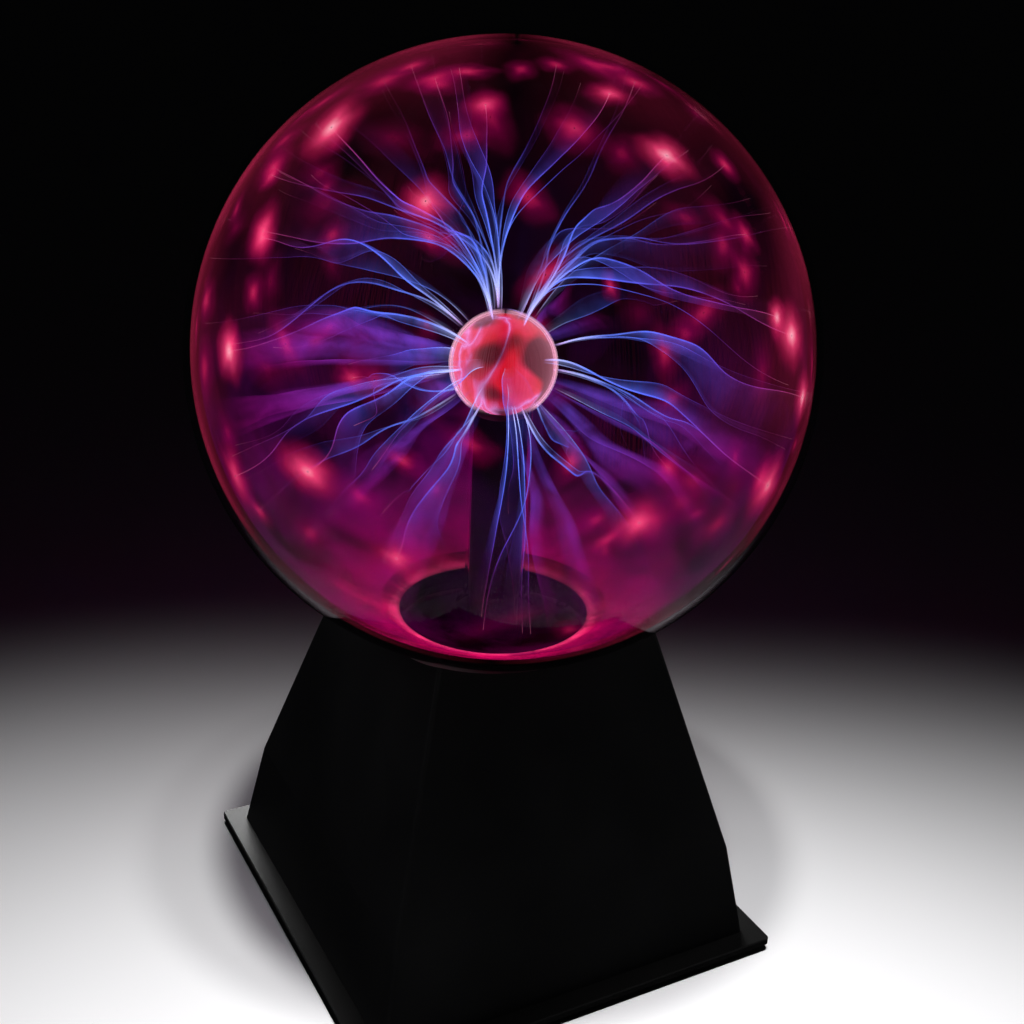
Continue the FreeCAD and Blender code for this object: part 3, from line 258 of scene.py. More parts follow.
FINISHES = {
    "base_plastic": surface("shell_plastic", (0.0025, 0.0025, 0.003), (0.005, 0.005, 0.0055), 0.40,
                            mottle=14.0, grain=3800.0, depth=0.035, spread=0.07, specular=0.16,
                            pattern=moulded),
    "plate_plastic": surface("plinth_plastic", (0.0025, 0.0025, 0.0025), (0.005, 0.005, 0.005), 0.44,
                             mottle=18.0, grain=3800.0, depth=0.035, spread=0.07, specular=0.16,
                             pattern=moulded),
    "foot_rubber": surface("foot_rubber_worn", (0.012, 0.012, 0.012), (0.03, 0.029, 0.028), 0.82,
                           mottle=300.0, grain=5000.0, depth=0.05, specular=0.3),
    "gasket_rubber": surface("gasket_rubber_matt", (0.010, 0.010, 0.010), (0.022, 0.022, 0.022), 0.75,
                             mottle=220.0, depth=0.05, specular=0.3),
    "sleeve_rubber": surface("sleeve_silicone_black", (0.002, 0.002, 0.0025), (0.004, 0.004, 0.005), 0.55,
                             mottle=80.0, grain=900.0, depth=0.012, specular=0.10),
    "cap_plastic": surface("cap_nylon", (0.004, 0.004, 0.005), (0.008, 0.008, 0.009), 0.55,
                           mottle=90.0, grain=2400.0, depth=0.03, specular=0.2, pattern=moulded),
    "silicone": surface("sealant_bead", (0.62, 0.62, 0.60), (0.45, 0.45, 0.42), 0.45,
                        mottle=140.0, grain=300.0, depth=0.2),
    "brass": surface("brass_rod", (0.78, 0.55, 0.24), (0.50, 0.31, 0.12), 0.28, metallic=1.0,
                     mottle=120.0, pattern=brushed),
    "screw_steel": surface("screw_zinc", (0.62, 0.62, 0.60), (0.40, 0.40, 0.42), 0.32, metallic=1.0,
                           mottle=320.0, grain=1500.0, depth=0.02),
    "board": surface("board_lacquer", (0.012, 0.085, 0.035), (0.02, 0.11, 0.045), 0.35,
                     mottle=90.0, depth=0.05, coat=0.4, pattern=tracked),
    "ferrite": surface("ferrite_grey", (0.035, 0.035, 0.038), (0.065, 0.063, 0.066), 0.62,
                       mottle=200.0, grain=1200.0, depth=0.05, pattern=speckled),
    "bobbin_plastic": surface("bobbin_resin", (0.012, 0.012, 0.012), (0.03, 0.028, 0.026), 0.5,
                              mottle=160.0, pattern=speckled),
    # For potting and copper_wire, the colour passed to wound is painted shade between the turns.
    "potting": surface("winding_wrap", (0.42, 0.30, 0.05), (0.55, 0.40, 0.09), 0.35,
                       mottle=130.0, depth=0.1, coat=0.3, pattern=wound(1.1 * MM, (0.25, 0.17, 0.02))),
    "copper_wire": surface("copper_enamel", (0.52, 0.18, 0.06), (0.38, 0.11, 0.035), 0.25, metallic=0.9,
                           mottle=150.0, depth=0.2, pattern=wound(0.45 * MM, (0.10, 0.025, 0.01))),
    "lead_silicone": surface("lead_silicone_red", (0.34, 0.02, 0.015), (0.22, 0.012, 0.01), 0.5,
                             mottle=200.0, grain=1500.0, depth=0.03),
    "aluminium": surface("sink_aluminium", (0.60, 0.61, 0.62), (0.42, 0.43, 0.45), 0.38, metallic=1.0,
                         mottle=90.0, depth=0.03, pattern=brushed),
    "package_epoxy": surface("epoxy_black", (0.014, 0.014, 0.015), (0.03, 0.03, 0.03), 0.6,
                             mottle=260.0, grain=2600.0, depth=0.03, pattern=speckled),
    "can_sleeve": surface("can_shrink_sleeve", (0.012, 0.03, 0.11), (0.02, 0.045, 0.15), 0.3,
                          mottle=120.0, grain=600.0, depth=0.04, coat=0.3),
    "film_case": surface("film_dip", (0.32, 0.10, 0.03), (0.42, 0.15, 0.05), 0.4,
                         mottle=200.0, grain=700.0, depth=0.08, coat=0.2),
    "resistor_coat": surface("resistor_lacquer", (0.36, 0.42, 0.48), (0.28, 0.33, 0.38), 0.4,
                             mottle=400.0, grain=2000.0, depth=0.03),
    "diode_body": surface("diode_epoxy", (0.02, 0.02, 0.02), (0.05, 0.05, 0.05), 0.5,
                          mottle=500.0, grain=2600.0, depth=0.02),
    "jack_plastic": surface("jack_resin", (0.010, 0.010, 0.010), (0.022, 0.022, 0.022), 0.42,
                            mottle=260.0, grain=3000.0, depth=0.02),
    "pin_metal": surface("pin_nickel", (0.72, 0.70, 0.66), (0.50, 0.48, 0.45), 0.22, metallic=1.0,
                         mottle=500.0, pattern=brushed),
    "switch_plastic": surface("switch_resin", (0.012, 0.012, 0.013), (0.026, 0.026, 0.027), 0.45,
                              mottle=260.0, grain=3000.0, depth=0.02),
    "knob_plastic": surface("knob_resin", (0.05, 0.05, 0.052), (0.085, 0.085, 0.088), 0.5,
                            mottle=400.0, grain=3200.0, depth=0.03),
    "mic_can": surface("mic_can_metal", (0.55, 0.56, 0.57), (0.38, 0.39, 0.40), 0.35, metallic=1.0,
                       mottle=400.0, grain=2000.0, depth=0.03, pattern=brushed),
}


def glass(name, tint, seen_through, gloss, bend, darker_below=None):
    """Clear blown glass with a faint waviness. Shadow and diffuse rays pass straight, dimmed.

    bend is its IOR. The last argument is a height: below it the glass colour is darker, more so towards the
    neck.
    """
    tree = Tree(name)
    waves = tree.noise(22.0, 2.0, 0.5)
    film = tree.noise(9.0, 4.0, 0.6, 0.4)
    colour = tree.mix(tree.ramp(film, [(0.35, 0.0), (0.7, 1.0)]), tint[0], tint[1])
    if darker_below:
        height = tree.add("ShaderNodeSeparateXYZ", {"Vector": tree.place()}).outputs["Z"]
        level = tree.maths("DIVIDE", height, darker_below, clamp=True)
        # below the given height the glass colour is mixed towards a near-black tone, darker towards the neck
        dark = tree.ramp(level, [(0.58, (0.07, 0.05, 0.06)), (0.65, (0.34, 0.29, 0.32))])
        colour = tree.mix(tree.ramp(level, [(0.60, 1.0), (1.0, 0.0)], smooth=True), colour, dark)
    inputs = {
        "Base Color": colour,
        "Roughness": 0.0,
        "IOR": bend,
        "Transmission Weight": 1.0,
        "Specular IOR Level": gloss,
        "Normal": tree.bump(waves, 0.05 * MM, 0.15),
    }
    solid = tree.add("ShaderNodeBsdfPrincipled", inputs).outputs[0]
    path = tree.add("ShaderNodeLightPath")
    straight = tree.add("ShaderNodeBsdfTransparent", {"Color": seen_through}).outputs[0]
    passing = tree.maths("MAXIMUM", path.outputs["Is Shadow Ray"], path.outputs["Is Diffuse Ray"])
    return tree.done(tree.add("ShaderNodeMixShader", {0: passing, 1: solid, 2: straight}).outputs[0])


def glowing(tree, alpha, colour, strength):
    """A see-through light: alpha says how much of it there is."""
    light = tree.add("ShaderNodeEmission", {"Color": colour, "Strength": strength}).outputs[0]
    clear = tree.add("ShaderNodeBsdfTransparent").outputs[0]
    alpha = tree.maths("MINIMUM", alpha, 1.0, clamp=True)
    material = tree.done(tree.add("ShaderNodeMixShader", {0: alpha, 1: clear, 2: light}).outputs[0])
    material.cycles.emission_sampling = "NONE"
    return material


def arc_values(tree):
    """The painted values on a plasma piece: along, across and strength."""
    painted = tree.add("ShaderNodeAttribute", attribute_name=ATTRIBUTE)
    split = tree.add("ShaderNodeSeparateColor", {"Color": painted.outputs["Color"]})
    return split.outputs[0], split.outputs[1], split.outputs[2]


def streamer_glow():
    """Threads and sheets of glowing gas: pale at the electrode, blue, violet, then pink at the glass."""
    tree = Tree("streamer_glow")
    along, sideways, power = arc_values(tree)
    profile = tree.ramp(sideways, [
        (0.0, 0.85), (0.03, 0.58), (0.08, 0.42), (0.20, 0.31),
        (0.50, 0.19), (0.85, 0.08), (0.95, 0.18), (1.0, 0.0),
    ])
    wisps = tree.noise(55.0, 4.0, 0.6, 0.3)
    wisps = tree.ramp(wisps, [(0.32, 0.25), (0.66, 1.35)])
    fade = tree.ramp(along, [
        (0.0, 0.0), (0.05, 1.0), (0.30, 1.0), (0.52, 0.66), (0.75, 0.32), (0.9, 0.20), (1.0, 0.35),
    ])
    amount = tree.maths("MULTIPLY", tree.maths("MULTIPLY", profile, wisps), fade)
    colour = tree.ramp(along, [
        (0.0, (0.72, 0.42, 0.95)), (0.07, (0.44, 0.50, 1.0)), (0.20, (0.13, 0.23, 1.0)),
        (0.45, (0.09, 0.13, 0.90)), (0.64, (0.15, 0.07, 0.72)), (0.80, (0.34, 0.05, 0.52)),
        (0.94, (0.80, 0.08, 0.36)), (1.0, (1.0, 0.30, 0.42)),
    ])
    return glowing(tree, tree.maths("MULTIPLY", amount, power), colour, 1.9)


def fan_glow():
    """Broad soft veils that reach down to the lower glass: blue-violet, magenta, then crimson."""
    tree = Tree("fan_glow")
    along, sideways, power = arc_values(tree)
    profile = tree.ramp(sideways, [(0.0, 0.0), (0.25, 0.7), (0.5, 1.0), (0.8, 0.45), (1.0, 0.0)], smooth=True)
    wisps = tree.ramp(tree.noise(60.0, 4.0, 0.6, 0.6), [(0.32, 0.2), (0.68, 1.0)])
    fade = tree.ramp(along, [(0.0, 0.0), (0.12, 0.42), (0.45, 0.46), (0.8, 0.36), (1.0, 0.05)])
    colour = tree.ramp(along, [
        (0.0, (0.18, 0.10, 0.90)), (0.35, (0.22, 0.05, 0.66)),
        (0.7, (0.42, 0.015, 0.42)), (1.0, (0.62, 0.0, 0.20)),
    ])
    veil = tree.maths("MULTIPLY", profile, wisps)
    amount = tree.maths("MULTIPLY", veil, tree.maths("MULTIPLY", fade, power))
    return glowing(tree, amount, colour, 1.8)


def spot_glow():
    """Where a streamer meets the glass: a white-pink heart in a blurred crimson cloud."""
    tree = Tree("spot_glow")
    outward, _, power = arc_values(tree)
    cloud = tree.noise(120.0, 4.0, 0.6, 0.5)
    edge = tree.maths("ADD", outward, tree.maths("MULTIPLY", tree.maths("SUBTRACT", cloud, 0.5), 0.35))
    amount = tree.ramp(edge, [(0.0, 1.0), (0.14, 0.82), (0.34, 0.46), (0.55, 0.22), (0.78, 0.08), (1.0, 0.0)])
    rim = tree.ramp(outward, [(0.75, 1.0), (1.0, 0.0)])
    heat = tree.maths("ADD", outward, tree.maths("SUBTRACT", 1.0, power))
    colour = tree.ramp(heat, [
        (0.0, (1.0, 0.58, 0.62)), (0.14, (1.0, 0.26, 0.36)), (0.32, (1.0, 0.06, 0.19)),
        (0.65, (0.75, 0.015, 0.12)), (1.0, (0.42, 0.0, 0.10)),
    ])
    amount = tree.maths("MULTIPLY", tree.maths("MULTIPLY", amount, rim), power)
    return glowing(tree, amount, colour, 1.6)


def haze_glow():
    """Thin glow of the gas near the glass: crimson at the bottom, magenta, violet, dim red at the crown."""
    tree = Tree("haze_glow")
    height = tree.add("ShaderNodeSeparateXYZ", {"Vector": tree.place()}).outputs["Z"]
    level = tree.maths("DIVIDE", tree.maths("SUBTRACT", height, centre.z - inner_radius), 2 * inner_radius)
    clouds = tree.ramp(tree.noise(26.0, 5.0, 0.6, 0.8), [(0.36, 0.06), (0.66, 1.1)])
    amount = tree.ramp(level, [
        (0.0, 0.75), (0.08, 0.46), (0.2, 0.18), (0.36, 0.085), (0.5, 0.035), (0.65, 0.015), (1.0, 0.010),
    ])
    colour = tree.ramp(level, [
        (0.0, (0.62, 0.0, 0.11)), (0.1, (0.42, 0.0, 0.16)), (0.25, (0.25, 0.003, 0.23)),
        (0.42, (0.18, 0.005, 0.25)), (0.6, (0.12, 0.004, 0.15)), (1.0, (0.16, 0.0, 0.03)),
    ])
    return glowing(tree, tree.maths("MULTIPLY", amount, clouds), colour, 1.3)


def electrode_surface():
    """The glowing filling: smooth crimson with pink streaks and darker patches."""
    tree = Tree("electrode_marble")
    veins = tree.noise(34.0, 3.0, 0.45, 1.0)
    fibres = tree.noise(420.0, 5.0, 0.75, 1.0)
    ridge = tree.maths("ABSOLUTE", tree.maths("SUBTRACT", veins, 0.5))
    dim_patches = tree.noise(52.0, 1.0, 0.4, 0.2)
    colour = tree.ramp(ridge, [
        (0.0, (1.0, 0.30, 0.78)), (0.014, (1.0, 0.14, 0.42)),
        (0.04, (0.95, 0.030, 0.11)), (0.12, (0.80, 0.010, 0.03)),
    ])
    # random noise patches where the glow is dimmer
    dark = tree.ramp(dim_patches, [(0.38, 0.10), (0.50, 1.0)], smooth=True)
    grit = tree.ramp(fibres, [(0.3, 1.05), (0.7, 1.20)])
    inputs = {
        "Base Color": (0.05, 0.004, 0.008),
        "Roughness": 0.8,
        "Specular IOR Level": 0.0,
        "Emission Color": colour,
        "Emission Strength": tree.maths("MULTIPLY", dark, grit),
        "Normal": tree.bump(fibres, 0.1 * MM),
    }
    material = tree.done(tree.add("ShaderNodeBsdfPrincipled", inputs).outputs[0])
    material.cycles.emission_sampling = "NONE"
    return material


def fin_glow(name, stops, strength):
    """Light for the fins that make a ball of gas bright at its edge. stops are colours, going outwards."""
    tree = Tree(name)
    outward, _, power = arc_values(tree)
    falloff = tree.ramp(outward, [(0.0, 0.8), (0.2, 1.0), (0.5, 0.6), (0.75, 0.2), (1.0, 0.0)])
    return glowing(tree, tree.maths("MULTIPLY", falloff, power), tree.ramp(outward, stops), strength)


# ---------------------------------------------------------------- meshes


class Shape:
    """Vertices, faces and painted values gathered up for one mesh."""

    def __init__(self):
        self.points = []
        self.faces = []
        self.paint = []

    def strip(self, rows, paints=(), closed=False):
        """A grid from rows of points; closed joins each row's last point to its first."""
        start, width = len(self.points), len(rows[0])
        for row in rows:
            self.points += row
        for paint in paints:
            self.paint += paint
        last = width if closed else width - 1
        for r in range(len(rows) - 1):
            for c in range(last):
                d = (c + 1) % width
                low, high = start + r * width, start + (r + 1) * width
                self.faces.append((low + c, low + d, high + d, high + c))

    def build(self, name, material, body=BODY):
        """The piece itself, smooth, riding on a body and given this material."""
        mesh = bpy.data.meshes.new(name)
        mesh.from_pydata(self.points, [], self.faces)
        mesh.update()
        if self.paint:
            layer = mesh.color_attributes.new(ATTRIBUTE, "FLOAT_COLOR", "POINT")
            layer.data.foreach_set("color", [v for p in self.paint for v in (*p, 1.0)])
        mesh.shade_smooth()
        made = bpy.data.objects.new(name, mesh)
        bpy.context.scene.collection.objects.link(made)
        made.data.materials.append(material)
        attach(made, body)
        return made


def lathe(name, outline, material, segments=160):
    """A closed body turned about Z from a closed outline of (radius, height)."""
    shape = Shape()
    rings = []
    for radius, height in outline:
        start = len(shape.points)
        if radius < 1e-6:
            shape.points.append((0.0, 0.0, height))
            rings.append([start])
            continue
        for step in range(segments):
            angle = 2 * math.pi * step / segments
            shape.points.append((radius * math.cos(angle), radius * math.sin(angle), height))
        rings.append(list(range(start, start + segments)))
    for low, high in zip(rings, rings[1:] + rings[:1]):
        if len(low) == 1 and len(high) == 1:
            continue
        for step in range(segments):
            after = (step + 1) % segments
            corners = [low[step % len(low)], low[after % len(low)]]
            corners += [high[after % len(high)], high[step % len(high)]]
            shape.faces.append(tuple(dict.fromkeys(reversed(corners))))
    return shape.build(name, material)


def arc_points(x, z, radius, start, end, count):
    """Points (radius, height) on a circle about (x, z), from start to end in degrees."""
    made = []
    for step in range(count + 1):
        angle = math.radians(start + (end - start) * step / count)
        made.append((x + radius * math.cos(angle), z + radius * math.sin(angle)))
    return made


def blended(points, corner, before, after, count=8):
    """A soft inside corner from before to after, pulled towards corner."""
    for step in range(1, count):
        t = step / count
        a, b, c = (1 - t) ** 2, 2 * t * (1 - t), t * t
        points.append(tuple(a * p + b * q + c * r for p, q, r in zip(before, corner, after)))


def globe_outline():
    """Outer wall from the crown down to the neck's end, then the inner wall back up."""
    outline = []
    outer, inner = (globe_radius, NECK_RADIUS, True), (inner_radius, NECK_RADIUS - GLOBE_WALL, False)
    for radius, neck, down in (outer, inner):
        mouth = neck + NECK_FILLET
        low = -math.degrees(math.acos(mouth / radius))
        side = arc_points(0.0, centre.z, radius, 90.0, low, 96)
        side[0] = (0.0, centre.z + radius)
        join = centre.z - math.sqrt(radius ** 2 - neck ** 2)
        neck_top = (neck, join - NECK_FILLET)
        blended(side, (neck, join), side[-1], neck_top)
        side.append(neck_top)
        side.append((neck, globe_low.z))
        outline += side if down else side[::-1]
    return outline


def stem_outline():
    """Electrode bulb, tube and flare: outside from the crown to the rim, then the inside back up."""
    outline = []
    for grow, down in ((0.0, True), (-STEM_WALL, False)):
        bulb, tube = bulb_radius + grow, TUBE_RADIUS + grow
        low = -math.degrees(math.acos((tube + 0.6 * MM) / bulb))
        side = arc_points(0.0, bulb_centre.z, bulb, 90.0, low, 48)
        side[0] = (0.0, bulb_centre.z + bulb)
        join = bulb_centre.z - math.sqrt(bulb ** 2 - tube ** 2)
        shoulder = (tube, join - 2 * MM)
        blended(side, (tube, join), side[-1], shoulder, 5)
        side.append(shoulder)
        flare = FLARE_ARC - grow
        side += arc_points(TUBE_RADIUS + FLARE_ARC, flare_top + FLARE_ARC, flare, 180.0, 270.0, 20)
        side.append((FLARE_RIM, flare_top + grow))
        outline += side if down else side[::-1]
    return outline


globe_glass = glass("globe_glass_clear", ((0.68, 0.67, 0.72), (0.74, 0.73, 0.77)), (0.64, 0.64, 0.65),
                    gloss=0.04, bend=1.10, darker_below=centre.z)
stem_glass = glass("stem_glass_clear", ((0.95, 0.95, 0.97), (0.98, 0.98, 0.99)), (0.92, 0.92, 0.94),
                   gloss=0.08, bend=1.02)

envelope = lathe("globe_blown", globe_outline(), globe_glass, 224)
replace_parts(envelope, "globe_envelope")
stem = lathe("stem_drawn", stem_outline(), stem_glass, 128)
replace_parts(stem, "stem_glass")


def wool_ball():
    """The conductive filling: a ball with a lumpy, fibrous surface, inside the bulb."""
    shape = Shape()
    rows = []
    lowest, count, around = -78.0, 96, 160
    for r in range(count + 1):
        elevation = lowest + (90.0 - lowest) * r / count
        row = []
        for c in range(around):
            way = direction(360.0 * c / around, min(elevation, 89.6))
            lump = noise.noise(way * 6.0) * 0.5 + noise.noise(way * 19.0) * 0.35
            row.append(tuple(bulb_centre + way * (wool_radius - 0.15 * MM + lump * 0.25 * MM)))
        rows.append(row)
    shape.strip(rows, closed=True)
    start = len(shape.points) - around
    shape.faces.append(tuple(range(around - 1, -1, -1)))
    shape.faces.append(tuple(range(start, start + around)))
    return shape.build("electrode_core", electrode_surface())


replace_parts(wool_ball(), "electrode_wool")


# ---------------------------------------------------------------- plasma

glow = streamer_glow()
spots = spot_glow()

ROOT_PULL = 0.46  # how far a line holds its first direction, as a share of its span
GLASS_PULL = 0.34  # the same where it meets the glass
THREAD_SIDES = 5
SHEET_HOLLOW = 0.15  # how far a sheet bulges, as a share of its width
FADE_FROM = 0.45  # a sheet fades from here on, so that its cut end doesn't show at the glass


def drift_at(place):
    """A smooth push in a direction that depends only on place."""
    return Vector(noise.noise(place + Vector((shift, -shift, shift * 0.5))) for shift in (0.0, 19.3, 41.7))


def path(end_way, lift, bow, seed, count, start_way=None, wobble=0.10, reach=None):
    """A streamer's line: it leaves the electrode, rises as hot gas does and bends to meet the glass."""
    end = centre + end_way * (reach or skin_radius)
    root_way = start_way or (end_way + UP * lift).normalized()
    root = bulb_centre + root_way * (bulb_radius + 0.1 * MM)
    span = (end - root).length
    first = root + root_way * span * ROOT_PULL
    last = end - end_way * span * GLASS_PULL + UP * bow * span
    made = []
    shift = Vector((seed * 3.1, seed * 1.7, seed * 0.9))
    for step in range(count + 1):
        t = step / count
        s = 1 - t
        point = root * s ** 3 + first * 3 * s * s * t + last * 3 * s * t * t + end * t ** 3
        swing = math.sin(math.pi * t) * wobble * span
        point += drift_at(shift + Vector((t * 2.2, 0, 0))) * swing
        point += drift_at(shift + Vector((t * 6.0, 5, 0))) * swing * 0.14
        made.append(point)
    return made


def thread(shape, line, radius, power):
    """A thin bright tube along line, thinner towards its end."""
    rows, paints = [], []
    for index, point in enumerate(line):
        t = index / (len(line) - 1)
        ahead = line[min(index + 1, len(line) - 1)] - line[max(index - 1, 0)]
        side, other = across(ahead.normalized())
        thin = radius * (1.3 - 0.8 * t)
        angles = (2 * math.pi * c / THREAD_SIDES for c in range(THREAD_SIDES))
        rows.append([tuple(point + (side * math.cos(a) + other * math.sin(a)) * thin) for a in angles])
        paints.append([(t, 0.0, power)] * THREAD_SIDES)
    shape.strip(rows, paints, closed=True)


def sheet(shape, line, other_line, power, columns=8):
    """A veil between two lines, as a streamer leaves when it drifts from one to the other."""
    rows, paints = [], []
    for index, (first, second) in enumerate(zip(line, other_line)):
        t = index / (len(line) - 1)
        ahead = line[min(index + 1, len(line) - 1)] - line[max(index - 1, 0)]
        bulge = (second - first).cross(ahead.normalized()) * SHEET_HOLLOW
        row = []
        for c in range(columns + 1):
            v = c / columns
            row.append(tuple(first.lerp(second, v) + bulge * 4 * v * (1 - v)))
        rows.append(row)
        kept = power * (1 - max(0.0, (t - FADE_FROM) / (1 - FADE_FROM)) ** 1.5)
        paints.append([(t, c / columns, kept) for c in range(columns + 1)])
    shape.strip(rows, paints)


def turned(way, spread, angle):
    """way tipped by spread degrees, towards angle."""
    side, other = across(way)
    lean = side * math.cos(angle) + other * math.sin(angle)
    return (way + lean * math.tan(math.radians(spread))).normalized()


def patch(shape, way, size, power, seed, stretch=1.0, depth=0.0):
    """A cloud of glow lying on the inside of the glass, faint at its uneven edge."""
    side, other = across(way)
    turn = seed * 1.9
    long = side * math.cos(turn) + other * math.sin(turn)
    short = way.cross(long)
    around, rings = 22, 7
    rows, paints = [], []
    for ring in range(rings + 1):
        out = max(ring / rings, 0.02)
        row = []
        for c in range(around):
            a = 2 * math.pi * c / around
            uneven = 1 + 0.28 * noise.noise(Vector((math.cos(a) * 1.4, math.sin(a) * 1.4, seed)))
            flat = (long * math.cos(a) * stretch + short * math.sin(a)) * (size * out * uneven / skin_radius)
            row.append(tuple(centre + (way + flat).normalized() * (skin_radius - depth)))
        rows.append(row)
        paints.append([(out, c / around, power) for c in range(around)])
    shape.strip(rows, paints, closed=True)


# Where streamers leave the electrode, in bunches: (azimuth, elevation).
ROOTS = [direction(azimuth, elevation) for azimuth, elevation in (
    (-150, 66), (85, 70), (0, 62), (-80, 58), (150, 42), (-165, 32), (95, 32), (30, 30), (-25, 22), (-70, 18),
    (125, 8), (-165, 5), (60, -8), (-5, -10), (-55, -16), (-95, -32), (-140, -25), (170, -30), (105, -34),
    (20, -45),
)]

# The larger streamers: azimuth and elevation where they meet the glass, lift at the electrode, bow upwards,
# spread in degrees, strength, and spot size in mm.
STREAMERS = [
    (-170, 50, 1.4, 0.00, 5, 1.0, 12),
    (-170, 62, 1.6, 0.00, 3, 0.4, 9),
    (105, 60, 1.8, 0.00, 6, 0.5, 9),
    (-150, 65, 1.8, 0.00, 3, 0.5, 8),
    (70, 45, 1.8, 0.02, 6, 0.8, 10),
    (-135, 40, 1.8, 0.05, 4, 0.9, 9),
    (80, 10, 1.6, 0.08, 5, 0.6, 8),
    (130, 30, 1.2, 0.10, 9, 0.7, 8),
    (125, 15, 0.9, 0.12, 12, 0.9, 9),
    (180, 40, 1.1, 0.06, 7, 0.5, 8),
    (-170, 30, 0.8, 0.08, 11, 0.8, 9),
    (45, 62, 1.4, 0.00, 3, 0.4, 8),
    (30, 52, 1.6, 0.02, 6, 0.8, 9),
    (-65, 65, 1.6, 0.00, 4, 0.5, 9),
    (20, 35, 1.5, 0.05, 7, 1.0, 12),
    (-60, 45, 1.1, 0.04, 4, 0.5, 7),
    (0, 20, 1.0, 0.12, 8, 0.5, 8),
    (-10, 5, 0.9, 0.14, 12, 1.0, 9),
    (-60, 15, 0.9, 0.14, 12, 1.0, 11),
    (-30, -5, 0.6, 0.10, 11, 1.0, 12),
    (-65, -10, 0.3, 0.08, 9, 0.9, 12),
    (-25, -25, 0.3, 0.04, 7, 0.6, 9),
    (-95, -10, 0.0, 0.04, 5, 0.8, 10),
    (40, -40, 0.0, 0.02, 7, 0.5, 8),
    (10, -35, 0.2, 0.03, 7, 0.5, 9),
    (-170, 10, 0.6, 0.10, 12, 1.0, 9),
    (135, -5, 0.6, 0.08, 10, 0.7, 8),
    (-150, -5, 0.2, 0.06, 8, 0.9, 10),
    (-170, -12, 0.2, 0.05, 7, 0.7, 11),
    (100, -20, 0.2, 0.05, 7, 0.6, 8),
    (-135, -18, 0.0, 0.04, 7, 0.8, 9),
    (155, -35, 0.0, 0.03, 7, 0.5, 8),
    (55, -10, 0.4, 0.06, 8, 0.6, 8),
    (-40, 30, 0.9, 0.10, 6, 0.5, 8),
]

CONTRAST = 1.6  # sets strong streamers apart from weak ones
BUNCH_SEED = 5.0  # streamers of one bunch share their noise, so they set off together
MAIN_STEPS, FORK_STEPS, FINE_STEPS, FAN_STEPS = 84, 72, 64, 48  # along one line
FINE_COUNT, FOOT_COUNT, FAN_COUNT, CLOUD_COUNT = 20, 4, 30, 96
FINE_SEED, FOOT_SEED, CLOUD_SEED, FAN_SEED = 120.0, 170.0, 200.0, 240.0  # each kind has noise of its own
FOOT_SIDE = -118.0  # azimuth of the streamers that run down the front of the stem
GLOW_SIDE = -119.0  # azimuth where most of the low glow has gathered

picks = random.Random(11)

bright = Shape()
contacts = Shape()
for number, (azimuth, elevation, lift, bow, spread, power, spot) in enumerate(STREAMERS):
    way = direction(azimuth, elevation)
    wanted = (way + UP * lift).normalized()
    bunch = max(range(len(ROOTS)), key=lambda index: ROOTS[index].dot(wanted))
    seed = bunch * BUNCH_SEED + 1.0
    power = power ** CONTRAST
    turn = number * 2.4
    line = path(way, lift, bow, seed, MAIN_STEPS, ROOTS[bunch])
    drift = turned(way, spread, turn)
    far_root = turned(ROOTS[bunch], 3.0, number * 1.3)
    far_line = path(drift, lift, bow * 0.6, seed + 0.06, MAIN_STEPS, far_root)
    thread(bright, line, 0.24 * MM, power * 0.8)
    thread(bright, far_line, 0.12 * MM, power * 0.30)
    sheet(bright, line, far_line, power)
    if number % 3 == 0:
        fork = turned(way, picks.uniform(7.0, 13.0), turn + 2.0)
        line = path(fork, lift, bow, seed + 0.1, FORK_STEPS, ROOTS[bunch])
        thread(bright, line, 0.13 * MM, power * 0.45)
    patch(contacts, way, spot * 1.05 * MM, min(1.0, 0.3 + power * 0.65), number + 1.0,
          picks.uniform(1.0, 1.5), number * 0.01 * MM)
bright.build("streamers_main", glow)
contacts.build("hot_spots", spots)

fine = Shape()
for number in range(FINE_COUNT):
    way = direction(picks.uniform(-180, 180), math.degrees(math.asin(picks.uniform(-0.75, 0.95))))
    lift = picks.uniform(0.2, 0.5) + max(0.0, way.z) * 1.0
    line = path(way, lift, picks.uniform(0.0, 0.1), number + FINE_SEED, FINE_STEPS, wobble=0.08)
    power = picks.uniform(0.15, 0.45)
    thread(fine, line, 0.12 * MM, power)
    far_way = turned(way, picks.uniform(4, 9), number)
    far_line = path(far_way, lift, 0.05, number + (FINE_SEED + 0.1), FINE_STEPS, wobble=0.08)
    sheet(fine, line, far_line, power)
for number in range(FOOT_COUNT):
    way = direction(FOOT_SIDE + picks.uniform(-26, 26), -66.0 + picks.uniform(-7, 7))
    start_way = direction(FOOT_SIDE + picks.uniform(-30, 30), -28.0)
    reach = 84 * MM + picks.uniform(0, 8) * MM
    line = path(way, 0.0, 0.0, number + FOOT_SEED, FINE_STEPS, start_way, 0.03, reach)
    power = picks.uniform(0.4, 0.8)
    thread(fine, line, 0.13 * MM, power)
    far_way = turned(way, 5.0, number)
    far_line = path(far_way, 0.0, 0.0, number + (FOOT_SEED + 0.1), FINE_STEPS, start_way, 0.03, reach)
    sheet(fine, line, far_line, power)
fine.build("streamers_fine", glow)

fans = Shape()
for number in range(FAN_COUNT):
    way = direction(picks.uniform(-180, 180), picks.uniform(-60, 0))
    line = path(way, 0.1, 0.03, number + FAN_SEED, FAN_STEPS, wobble=0.07)
    far_way = turned(way, picks.uniform(6, 14), number * 1.7)
    far_line = path(far_way, 0.1, 0.02, number + (FAN_SEED + 0.1), FAN_STEPS, wobble=0.07)
    sheet(fans, line, far_line, picks.uniform(0.4, 1.0), columns=6)
fans.build("haze_fans", fan_glow())

